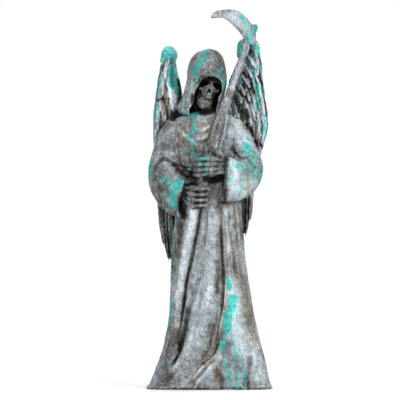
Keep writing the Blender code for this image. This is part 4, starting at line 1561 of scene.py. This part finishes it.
@dataclass
class Wing(Piece):
    """A folded wing: a bone up its inner edge, and rows of feathers on both faces.

    It is drawn for the figure's right wing, flat, then wrapped round the back. The left one is
    mirrored, and stands a little higher and shorter.

    Attributes:
        left: Whether it is the figure's left wing.
        feather_thickness: How thick a feather is, in metres.
        row_step: How far each row of feathers stands in front of the one below.
        core_thickness: How thick the wing is between its two faces' feathers.
        grain: The size of the skin's faces.
    """

    name: str = "wing"
    finish: Finish = Finish("washed feathers", lightness=0.06, wash_and_shade=1.25, cracks=0.2, streaks=0.5, barbs=0.8)
    left: bool = False
    feather_thickness: float = 0.0056
    row_step: float = 0.0021
    core_thickness: float = 0.0065
    grain: float = 0.00095
    fine_rounds: int = 13

    def arm(self) -> list[bpy.types.Mesh]:
        """The wing's arm, from the thick rounded wrist at the top down to the shoulder.

        Returns:
            The skins.
        """
        line = [
            (-40.6, 0, 344), (-41, 0, 339.5), (-41.6, -0.5, 333), (-41.2, -1, 326), (-39.6, -2, 318),
            (-36.8, -2.5, 306), (-35, -2.5, 294), (-33, -1.5, 282), (-25, 0, 264),
        ]
        wide = [3.4, 6.2, 7.4, 6.8, 5.8, 5.9, 6, 5.4, 4]
        deep = [3, 5, 5.8, 5.4, 5, 4.6, 4.4, 4, 3]
        arm = loft(line, wide, deep, 20, 60, power=[2, 2, 2, 2, 2.4, 3, 3, 3, 2])
        parts = [
            arm,
            limb([(-46, -1, 332), (-46.8, -1, 326.5)], [3, 3], 14, 14),
            limb([(-37.8, 1.2, 340.5), (-37.2, 0.6, 330)], [3.4, 3.6], 14, 14),
        ]
        if self.left:
            parts.append(limb([(-34.5, 0, 341), (-33, -1, 333), (-33.5, -1, 320)], [5, 6.4, 4.5], 16, 24))
        return parts

    def feather(self, root: np.ndarray, tip: np.ndarray, wide: float, depth: float) -> bpy.types.Mesh:
        """A leaf-shaped feather that hangs from root to tip and lies over the row below it.

        Args:
            root: Where it starts, in figure units on the flat wing.
            tip: Where it ends.
            wide: Its half-width.
            depth: How far in front of the wing's middle it lies, over 0 behind it.

        Returns:
            The skin.
        """
        share = np.array([0, 0.25, 0.5, 0.75, 0.92, 1.0])
        flat = root + (tip - root) * share[:, None]
        flat[:, 0] += 0.42 * max(depth, 0) - 0.05 * np.linalg.norm(tip - root) * np.sin(np.pi * share)
        lift = np.sign(depth) * self.row_step / U * (1.5 * share - 0.8)
        path = np.column_stack([flat[:, 0], depth + lift, flat[:, 1]])
        leaf = np.array([0.8, 1.0, 1.0, 0.85, 0.5, 0.12]) * wide
        thick = np.array([0.8, 1.0, 1.0, 0.9, 0.7, 0.4]) * self.feather_thickness / 2 / U
        return loft(path, leaf, thick, 10, 16, power=1.4)

    def rows(self, face: int) -> list[bpy.types.Mesh]:
        """The rows of one face, from the long feathers at the bottom up to the short ones.

        Args:
            face: 1 for the face at the back and -1 for the one in front.

        Returns:
            The feathers' skins.
        """
        outer = [(-51, 205), (-54, 232), (-54.5, 256), (-52.5, 278), (-50.5, 296), (-48.5, 312)]
        middle = [(-45, 138), (-45, 196), (-43, 226), (-43, 250), (-44, 274), (-45, 299)]
        inner = [(-14, 150), (-13, 205), (-17, 228), (-28, 244), (-37, 264), (-41, 290)]
        if self.left:
            middle[3:] = [(-42, 250), (-41, 272), (-41, 294)]
            inner[2:] = [(-15, 228), (-19, 246), (-25, 266), (-31, 286)]
        lengths = (95, 62, 46, 38, 30, 24)
        counts = (14, 14, 14, 12, 10, 8)
        feathers = []
        for row, ends in enumerate(zip(outer, middle, inner)):
            share = np.linspace(0, 1, counts[row])
            depth = face * (0.9 + row) * self.row_step / U
            for i, tip in enumerate(spline([0, 0.35, 1], ends, share)):
                slant = 10.0 - 8.0 * share[i] if self.left else 5.0 - 9.0 * share[i]
                root = tip + np.array((slant, lengths[row]))
                top = np.interp(root[0], [-48, -42, -38, -34, -26, -12], [326, 336, 326, 300, 278, 262])
                root[1] = min(root[1], top)
                tip[1] = min(tip[1], root[1] - 0.6 * lengths[row])
                ragged = tip + (0.6 * np.sin(2.9 * i + row), 2.6 * np.sin(5.1 * i + 1.3 * row + face))
                feathers.append(self.feather(root, ragged, 2.5, depth + 0.3 * face * (-1) ** i))
        for i in range(9 if self.left else 0):
            root = np.array((-34 + 1.5 * i, 324 - 4.8 * i))
            tip = root + (3.4 - 0.3 * i, -31 - 3 * (i % 2))
            feathers.append(self.feather(root, tip, 2.0, face * (2.2 + 0.3 * (-1) ** i)))
        for i in range(5 if self.left else 0):
            root = np.array((-37 - 2.3 * i, 334 - 1.5 * abs(i - 2)))
            tip = root + (-1.5 - 0.4 * i, -33 - 3 * (i % 2))
            feathers.append(self.feather(root, tip, 2.1, face * 5.4 - 0.8))
        return feathers

    def skin(self) -> bpy.types.Mesh:
        """Welds the arm, the core and the feathers, and wraps the wing round the back.

        Returns:
            The skin.
        """
        middle = [
            (-40, 0, 341), (-41, 0, 325), (-41.5, 0, 300), (-34, 0, 262),
            (-33, 0, 225), (-35, 0, 190), (-38, 0, 150), (-39, 0, 130),
        ]
        thick = np.array([0.5, 1, 1, 1, 1, 0.9, 0.6, 0.3]) * self.core_thickness / 2 / U
        core = loft(middle, [2, 6, 10.5, 18, 19, 15, 8, 2], thick, 32, 60, power=3)
        flat = weld([*self.arm(), core, *self.rows(-1), *self.rows(1)], self.grain, relax=1)
        points = points_of(flat)
        wrap_round_back(points)
        if self.left:
            mirror_to_left(points)
        move_to(flat, points)
        if self.left:
            flat.flip_normals()
        return roughen(flat, 0.0004, (0.008, 0.008, 0.012), 17.0)

    def fine_scale(self) -> float:
        """Feathers hold their wash and painted shade between the vanes."""
        return 0.0006


def mirror_to_left(points: np.ndarray) -> None:
    """Mirrors a wing to the left, shorter and higher, narrower below and fuller at its middle.

    Args:
        points: The wing's vertices, in metres, which are moved.
    """
    shorter, higher, across = 0.918, 36 * U, 1.2 * U
    points[:, 2] = shorter * points[:, 2] + higher
    narrow = 1 - 0.15 * smoothstep((275 * U - points[:, 2]) / (90 * U))
    narrow += 0.045 * smoothstep(1 - np.abs(points[:, 2] - 262 * U) / (34 * U))
    points[:, 0] = across - points[:, 0] * narrow


def wrap_round_back(points: np.ndarray) -> None:
    """Bends a flat wing round the back, with its thickness kept square to the curve.

    Args:
        points: The wing's vertices, in metres, which are moved.
    """
    half_span, bulge, start = 62, 22, 6
    bend = np.clip(points[:, 0] / (half_span * U), -1, 1) * np.pi / 2
    slope = -bulge / half_span * np.pi / 2 * np.sin(bend)
    square = points[:, 1] / np.sqrt(1 + slope**2)
    points[:, 0] -= slope * square
    points[:, 1] = (start + bulge * np.cos(bend)) * U + square


# Painting


def pixels(*spots: tuple[float, float]) -> list[Point]:
    """Places read off the photograph, in its pixels, as figure units."""
    return [(x - 210.0, 390.0 - y) for x, y in spots]


def strokes_of(coat: Coat, rows: Sequence[tuple]) -> list[Stroke]:
    """Strokes of one coat on the front.

    Args:
        coat: The coat.
        rows: The half-width, the amount and the places in pixels of each stroke.

    Returns:
        The strokes.
    """
    return [Stroke(coat, pixels(*spots), width, amount) for width, amount, *spots in rows]


def splashes() -> list[Stroke]:
    """The green-blue paint: thrown, run down and rubbed in.

    Returns:
        The strokes.
    """
    front = strokes_of(Coat.PAINT, (
        # The right wing
        (9, 0.72, (169, 48), (168, 57)), (4, 0.8, (164, 52), (162, 61)),
        (6.5, 1.0, (172, 58), (172, 72)), (5, 0.6, (174.5, 49), (174.5, 58)),
        (8.6, 1.4, (172, 72), (173, 84)), (6, 1.3, (174, 84), (177, 92)),
        (4.4, 0.8, (160, 75), (158.5, 86), (157, 97)), (4, 0.75, (156, 100), (155, 118)),
        (3, 0.6, (154.5, 125), (154, 140)), (4, 0.6, (167, 119), (164, 126)),
        # The hood, and the chest down to the hands
        (7, 0.95, (206.5, 50), (203, 60)), (5, 1.4, (201, 61), (197, 68), (194, 73)),
        (5, 0.9, (183, 115.5), (192, 118.5)), (7, 0.3, (193, 56), (189, 66), (188, 78)),
        (4.4, 1.0, (196.8, 79.6), (197, 81)), (6.4, 0.7, (221, 67), (221, 78)),
        (4.6, 0.75, (223, 76), (224.5, 91)), (4, 0.7, (214, 76), (219, 79)),
        (2.6, 0.7, (186, 101), (186, 110)), (7, 0.95, (195.4, 110), (194.6, 115)),
        (5.2, 0.82, (194, 116), (193, 131)), (5.5, 0.5, (186, 117), (192, 120)),
        (3.8, 0.85, (197, 131.4), (190, 136)), (3.4, 1.0, (191.4, 143), (191.6, 145)),
        (2.6, 0.66, (192.3, 147), (192.3, 157)), (3.8, 1.0, (183.1, 151.6), (183.4, 152.6)),
        (3.2, 1.0, (190.4, 167), (190.6, 168)), (2.8, 0.9, (187.7, 138), (188, 138.6)),
        # The right sleeve
        (5.6, 0.85, (150.6, 165), (149.4, 172), (150, 179)), (3.2, 0.65, (153, 140), (151.6, 158)),
        (8, 1.4, (179, 184), (175.5, 190)), (6, 1.3, (175, 190), (173, 199), (174.4, 207)),
        (4.6, 1.0, (168.6, 184.4), (170, 182)), (3.8, 0.95, (162.8, 180.4), (165, 178.6)),
        (3.6, 0.95, (166, 192.8), (166.4, 194.6)), (4.4, 0.55, (162.6, 185), (162, 196)),
        # The hands
        (2.6, 1.0, (197.6, 159.8), (208.2, 160)), (2.8, 0.95, (199.4, 162.6), (200.4, 165.8)),
        (2.7, 0.95, (206, 165.6), (206.4, 170)), (2.6, 0.95, (202.6, 175.4), (205, 175.6)),
        (2.8, 0.85, (186.6, 188), (187.4, 190.6)), (2.6, 0.7, (184.6, 200), (186, 202)),
        # The left sleeve
        (7, 0.95, (245.4, 147.6), (249, 150.6)), (11, 0.68, (246, 153), (253, 160), (251, 168)),
        (11, 0.66, (251, 166), (255, 176), (258, 181)), (6, 0.8, (261, 168), (261, 181)),
        (2, 0.9, (240.4, 140), (241.6, 140.2)), (2.4, 0.9, (248, 139.4), (249.4, 139.6)),
        (9, 0.44, (231, 160), (229, 172), (231, 186)), (12, 0.44, (239, 168), (243, 178), (238, 190)),
        (7, 0.45, (246, 187), (255, 182)), (5, 0.45, (228, 196), (238, 199)),
        # The left wing
        (7, 1.0, (239.5, 43), (239, 55)), (5, 0.8, (251, 42), (254, 50), (251, 60)),
        (3.4, 0.75, (257, 46), (259, 57)), (4, 0.8, (248, 58), (252, 70), (256, 83)),
        (4.2, 0.9, (256.6, 84), (258, 98), (257, 108)), (3.4, 0.85, (260, 64), (264, 80)),
        (3.4, 0.8, (264, 84), (264.4, 91)), (3.4, 0.8, (264.6, 116), (266, 138)),
        (3, 0.9, (241, 80), (243, 83)),
        # The blade
        (6, 0.75, (256, 25), (252, 32), (248, 39)), (4, 0.55, (241, 16), (246, 24), (247, 34)),
        # The robe
        (3, 1.5, (227, 279.6), (228, 283)), (4.6, 1.6, (228.6, 283), (229.4, 287.6)),
        (8, 1.7, (232.4, 299.6), (232, 309)), (7.4, 1.7, (228, 315), (227, 329)),
        (2.4, 1.3, (226.6, 331), (225.6, 335)), (5.6, 1.6, (223.4, 342.4), (222.4, 347.4)),
        (2.6, 1.4, (219.6, 349), (219.4, 351)), (2.4, 0.7, (231, 322), (231.4, 346)),
        (2.4, 0.65, (237, 306), (237, 336)), (2.2, 0.6, (238, 336), (240, 353)),
        (5, 0.42, (225.4, 350), (226.6, 375)), (2.8, 0.85, (229, 373), (229.6, 388)),
        (2.8, 0.68, (234.6, 341), (235.6, 360), (235, 378)), (2.4, 0.85, (237, 376), (237.4, 388)),
        (2.2, 0.7, (242, 354), (243, 381)), (2.8, 0.95, (246, 374), (245.6, 388)),
        (2.2, 0.8, (223.6, 333), (224, 346)), (2.6, 0.85, (171, 224), (171, 250), (170.8, 278)),
        (3, 0.6, (164, 362), (165, 376)),
    ))
    behind = (
        (5, 0.9, (-44, 318), (-47, 290), (-45, 250)), (5, 0.9, (45, 322), (50, 296), (46, 262)),
        (6, 0.85, (-6, 338), (-2, 326), (-5, 312)), (4, 0.8, (-30, 226), (-27, 200)),
        (4, 0.75, (28, 238), (30, 216), (27, 196)), (5, 0.85, (-12, 96), (-14, 70), (-13, 48)),
        (4, 0.7, (22, 60), (24, 30), (25, 8)), (4, 0.7, (8, 130), (7, 112)),
    )
    back = [Stroke(Coat.PAINT, line, width, amount, Side.BACK) for width, amount, *line in behind]
    sides = [
        Stroke(Coat.PAINT, [(-4, 90), (-6, 60)], 5, 0.8, Side.LEFT),
        Stroke(Coat.PAINT, [(4, 120), (6, 84)], 5, 0.8, Side.RIGHT),
    ]
    return front + back + sides


# The deep gaps between the feather tips of the left wing, painted dark as shade, in pixels of the photograph
SHADED_NOTCHES = (
    (245, 75), (250, 78), (259.5, 79), (262.5, 83.5), (244, 86), (252, 86), (252, 91), (238, 90),
    (241, 94), (246.5, 100), (247, 127), (252, 134), (256, 144), (262, 147),
)


def brushed_tones() -> list[Stroke]:
    """Where the wash was wiped pale or painted as highlight, where it was left dirty or painted as shade and
    shadow, and where it has gone brown.

    Returns:
        The strokes.
    """
    # Pale wiped wash, and painted highlights and painted light: on the great fold, the cheekbone, the blade
    # and the shaded hollow beside the hood
    pale = strokes_of(Coat.PALE, (
        (13, 0.7, (213, 215), (211, 245), (212, 262)), (13, 0.85, (209, 262), (205, 300), (196, 330)),
        (8, 1.1, (197, 290), (194, 315), (188, 345), (172, 368)),
        (8, 1.5, (194, 212), (189, 238), (184, 262), (180, 290), (177, 325)),
        (16, 1.2, (234, 118), (240, 140)), (15, 1.6, (232, 165), (236, 190), (250, 185)),
        (5, 1.2, (225, 206), (227, 225), (229, 250)), (3.4, 1.2, (231, 206), (234, 222)),
        (3.4, 1.0, (236.6, 206), (238, 222)), (14, 2.0, (230, 285), (236, 320), (241, 350)),
        (14, 1.0, (246, 335), (257, 375)), (4, 1.2, (220, 350), (217, 362), (209, 370), (199, 382)),
        (3.4, 1.3, (202, 366), (193, 375), (185, 384)),
        (10, 1.3, (215, 17), (228, 15), (238, 20), (247, 31)), (6, 0.5, (200, 190), (200, 206)),
        (6.5, 5.0, (172.5, 90), (174.5, 107)), (7, 1.2, (192, 84), (188, 100)),
        (6, 0.6, (189, 66), (190, 84)), (5, 0.8, (219, 112), (214, 126)),
        (5, 0.8, (243, 55), (238, 72), (233, 88)), (12, 0.1, (170, 130), (164, 150)),
        (1.8, 1.6, (199, 88.8), (200.6, 89)), (9, 1.0, (214, 14), (230, 15), (242, 27)),
        (4, 1.5, (249, 54), (252, 64)), (4, 1.0, (179, 130), (184, 135), (189.5, 140), (197, 145)),
        (3.4, 1.2, (196, 131), (203, 130), (209, 127)),
        (3.4, 1.1, (197, 139.6), (202, 139), (207, 136)), (10, 0.6, (200, 122), (202, 145)),
        (5, 0.6, (212, 88), (209, 96)),
    ))
    # Dirt, and painted shade and painted shadow: in the gaps between feathers and fingers, in creases, under
    # the hood and the hands, beside the pole, along the hem and down the left of the skirt
    shaded_notches = [(2, 2.4, (x - 1, y - 2.4), (x + 1.4, y + 2.4)) for x, y in SHADED_NOTCHES]
    dirt = strokes_of(Coat.DIRT, (
        *shaded_notches, (5, 0.35, (222, 205), (223, 240), (225, 275), (224, 300), (218, 345), (204, 366)),
        (8, 0.3, (218, 230), (220, 262), (219, 290)), (7, 0.6, (187, 312), (186, 330), (179, 348)),
        (9, 0.4, (172, 318), (171, 345), (168, 366)), (14, 0.5, (160, 172), (166, 205), (176, 214)),
        (5, 1.6, (175, 166), (182, 173), (190, 179), (196, 182)),
        (14, 0.5, (196, 150), (190, 166), (184, 172)), (5, 2.4, (206, 180), (214, 181), (222, 178)),
        (5, 1.4, (226, 160), (226, 182), (224, 202)), (6, 1.5, (183, 196), (180, 208), (184, 217)),
        (12, 0.3, (168, 128), (162, 160)), (9, 1.4, (160, 212), (165, 245), (168, 268)),
        (10, 0.6, (181, 300), (173, 345)), (8, 1.3, (249, 203), (246, 236)),
        (6, 0.8, (180, 226), (178, 256)), (6, 0.7, (250, 360), (248, 374), (246, 387)),
        (6, 0.7, (222, 380), (216, 370)),
        (3.2, 1.2, (146, 389), (180, 389.5), (230, 389.5), (274, 389)),
        (9, 0.6, (172, 374), (162, 385)), (7, 0.4, (211, 328), (206, 354)),
        (5, 0.7, (217, 262), (218, 292)),
        (4, 2.2, (193.6, 97), (194.4, 106), (199, 112.4), (208, 113), (214, 110)),
        (4.6, 2.2, (214.6, 96), (214.6, 107)), (5, 1.6, (200, 83), (204, 80), (214, 79.5), (219, 86)),
        (1.3, 0.4, (205, 100.4), (209, 100.2)), (3, 0.9, (216.5, 90.5), (219, 88)),
        (7, 0.5, (245, 75), (252, 88), (244, 98), (246, 126)), (6, 0.8, (166, 100), (168, 114)),
        (7, 0.35, (222, 112), (214, 135), (208, 152)), (9, 0.25, (213, 50), (222, 62), (214, 70)),
        (2.6, 1.2, (210, 18), (216, 19), (224, 22), (232, 27)), (7, 1.4, (236, 100), (246, 118)),
        (3, 1.2, (163, 99), (158, 101)), (4.4, 2.2, (184, 169.6), (190.6, 173.6)),
        (1.7, 1.0, (195, 192.8), (201, 193.2), (206.6, 191.6)),
        (1.7, 1.0, (195, 198.4), (201, 198.8), (206.4, 197.2)),
        (1.7, 1.0, (194, 204), (200, 204.4), (205.6, 202.8)), (1.8, 0.9, (193, 209.4), (204, 208.4)),
        (2.4, 1.4, (176.6, 64), (177, 68)), (2.4, 1.4, (178, 80), (178.6, 86)),
    ))
    warm = strokes_of(Coat.WARM, (
        (11, 0.9, (193, 126), (204, 132), (206, 142)), (7, 0.8, (178, 126), (188, 138)),
        (7, 0.9, (221, 204), (222, 240), (224, 275), (221, 330), (211, 356), (192, 378)),
        (7, 1.0, (225, 206), (232, 206), (236, 225)),
        (9, 1.0, (234, 240), (241, 280), (249, 320), (252, 345)), (5, 1.0, (183, 335), (180, 350)),
        (12, 0.5, (240, 110), (258, 140)), (8, 0.9, (163, 90), (166, 112)),
        (10, 0.6, (182, 130), (186, 160)), (9, 0.2, (214, 14), (230, 16)),
        (9, 0.7, (250, 175), (246, 190)), (8, 0.4, (216, 52), (220, 66)),
        (9, 0.7, (216, 362), (218, 386)), (5, 0.8, (172, 215), (173, 250)),
    ))
    back = [
        Stroke(Coat.DIRT, [(-20, 240), (0, 200), (20, 240)], 22, 0.6, Side.BACK),
        Stroke(Coat.PALE, [(-30, 60), (0, 90), (30, 60)], 24, 0.6, Side.BACK),
        Stroke(Coat.PALE, [(0, 338), (-2, 300)], 18, 0.5, Side.BACK),
    ]
    return pale + dirt + warm + back


class Workshop:
    """Models, paints and places the pieces."""

    # In metres: the cells of the blurred solid, and the hollows that count as recess and as shelter
    CELL = 0.0024
    RECESS_REACH = 0.0045
    SHELTER_REACH = 0.013

    def __init__(self, casting: bpy.types.Object) -> None:
        """Prepares the shared paint.

        Args:
            casting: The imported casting, which the pieces stand for.
        """
        self.shelter = Shelter(casting, self.CELL)
        self.concrete = ConcreteNodes()
        self.strokes = [*splashes(), *brushed_tones()]

    def make(self, piece: Piece) -> bpy.types.Object:
        """Models and paints one piece, and gives it to the frame.

        Args:
            piece: The piece.

        Returns:
            Its object.
        """
        mesh = piece.skin()
        mesh.name = piece.name
        for coat in Coat:
            write_mask(mesh, coat.value, lay_on(mesh, self.strokes, coat))
        points, normals = points_of(mesh), normals_of(mesh)
        points = np.clip(points + SETTLE, *CAD_BOX)
        move_to(mesh, points)
        relief = fine_relief(mesh, piece.fine_rounds) / piece.fine_scale()
        write_mask(mesh, "groove", np.clip(relief, -1, 1))
        write_mask(mesh, "recess", self.shelter.depth_at(points, normals, self.RECESS_REACH))
        write_mask(mesh, "shelter", self.shelter.depth_at(points, normals, self.SHELTER_REACH))
        mesh.materials.clear()
        mesh.materials.append(piece.finish.material(self.concrete))
        mesh.shade_smooth()
        thing = bpy.data.objects.new(piece.name, mesh)
        bpy.context.scene.collection.objects.link(thing)
        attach(thing, BODY)
        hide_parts(CASTING)
        log.info("%s: %d triangles", piece.name, sum(len(f.vertices) - 2 for f in mesh.polygons))
        return thing


# The studio


@dataclass
class Studio:
    """A pale floor, soft lights and the camera at the photograph's angle.

    Attributes:
        distance: From the camera to the figure, in metres.
        frame_width: What the picture is wide at the figure, in metres.
        aim: The place in the middle of the picture.
        floor_radius: How far the floor reaches, in metres.
        floor_fade: Between which distances from the figure the floor fades out.
        chest_height: Where the lights are aimed, in metres from the ground.
        room_light: How strongly the white room lights the figure.
    """

    distance: float = 8.0
    frame_width: float = 0.6415
    aim: Point = (-0.0154, 0.0, 0.3027)
    floor_radius: float = 3.0
    floor_fade: tuple[float, float] = (0.3, 0.9)
    chest_height: float = 0.32
    room_light: float = 0.55
    # The name, place, size in metres and power in watts of each light
    LAMPS = (
        ("key", (1.2, -1.9, 1.6), 1.0, 44),
        ("fill", (-1.6, -2.2, 0.9), 1.4, 20),
        ("top", (0.1, 0.2, 2.2), 1.2, 14),
        ("rear", (0.6, 1.6, 1.6), 1.2, 20),
    )

    def floor(self) -> None:
        """A round sheet of pale paper, open on all sides, that fades out into the white room."""
        paper = bmesh.new()
        bmesh.ops.create_circle(paper, cap_ends=True, segments=96, radius=self.floor_radius)
        mesh = bpy.data.meshes.new("floor")
        paper.to_mesh(mesh)
        paper.free()
        material = bpy.data.materials.new("pale paper")
        material.use_nodes = True
        kit = NodeKit(material.node_tree)
        surface = material.node_tree.nodes["Principled BSDF"]
        surface.inputs["Base Color"].default_value = (0.86, 0.86, 0.87, 1)
        surface.inputs["Roughness"].default_value = 0.9
        glow = kit.node("ShaderNodeEmission")
        away = kit.node("ShaderNodeVectorMath", operation="LENGTH")
        kit.feed(away.inputs[0], kit.node("ShaderNodeTexCoord").outputs["Object"])
        fade = kit.fit(away.outputs["Value"], *self.floor_fade)
        seen = kit.math("MULTIPLY", fade, kit.node("ShaderNodeLightPath").outputs["Is Camera Ray"])
        mixed = kit.node("ShaderNodeMixShader")
        for socket, given in zip(mixed.inputs, (seen, surface.outputs[0], glow.outputs[0])):
            kit.feed(socket, given)
        kit.feed(material.node_tree.nodes["Material Output"].inputs["Surface"], mixed.outputs[0])
        mesh.materials.append(material)
        floor = bpy.data.objects.new("floor", mesh)
        bpy.context.scene.collection.objects.link(floor)

    def lamp(self, name: str, place: Point, size: float, power: float) -> None:
        """A square soft light aimed at the figure's chest.

        Args:
            name: Its name.
            place: Where it hangs.
            size: The length of its side, in metres.
            power: Its power, in watts.
        """
        light = bpy.data.lights.new(name, "AREA")
        light.size = size
        light.energy = power
        lamp = bpy.data.objects.new(name, light)
        lamp.location = place
        way = Vector(place) - Vector((0, 0, self.chest_height))
        lamp.rotation_euler = way.to_track_quat("Z", "Y").to_euler()
        bpy.context.scene.collection.objects.link(lamp)

    def camera(self) -> None:
        """A long lens straight in front of the figure."""
        lens = bpy.data.cameras.new("camera")
        lens.lens = lens.sensor_width / self.frame_width * self.distance
        eye = bpy.data.objects.new("camera", lens)
        eye.location = Vector(self.aim) + Vector((0, -self.distance, 0))
        eye.rotation_euler = (radians(90), 0, 0)
        bpy.context.scene.collection.objects.link(eye)
        bpy.context.scene.camera = eye

    def room(self) -> None:
        """A white room that lights the figure less strongly than it shows in the picture."""
        world = bpy.data.worlds.new("room")
        world.use_nodes = True
        sky = world.node_tree.nodes["Background"]
        sky.inputs["Color"].default_value = (1, 1, 1, 1)
        sky.inputs["Strength"].default_value = self.room_light
        kit = NodeKit(world.node_tree)
        wall = kit.node("ShaderNodeBackground")
        wall.inputs["Color"].default_value = (1, 1, 1, 1)
        mixed = kit.node("ShaderNodeMixShader")
        seen = kit.node("ShaderNodeLightPath").outputs["Is Camera Ray"]
        for socket, given in zip(mixed.inputs, (seen, sky.outputs[0], wall.outputs[0])):
            kit.feed(socket, given)
        kit.feed(world.node_tree.nodes["World Output"].inputs["Surface"], mixed.outputs[0])
        bpy.context.scene.world = world

    def set_up(self) -> None:
        """Builds the studio."""
        self.floor()
        for lamp in self.LAMPS:
            self.lamp(*lamp)
        self.room()
        bpy.context.scene.view_settings.view_transform = "Standard"
        self.camera()


def main() -> None:
    """Builds the studio and every piece in order, and keeps the sizes."""
    logging.basicConfig(level=logging.INFO, format="%(message)s")
    Studio().set_up()
    workshop = Workshop(bpy.data.objects[CASTING])
    pieces = [Robe(), Hood(), Skull(), Scythe(), Hands(), Wing("right_wing"), Wing("left_wing", left=True)]
    for piece in pieces:
        workshop.make(piece)


if __name__ == "__main__":
    main()
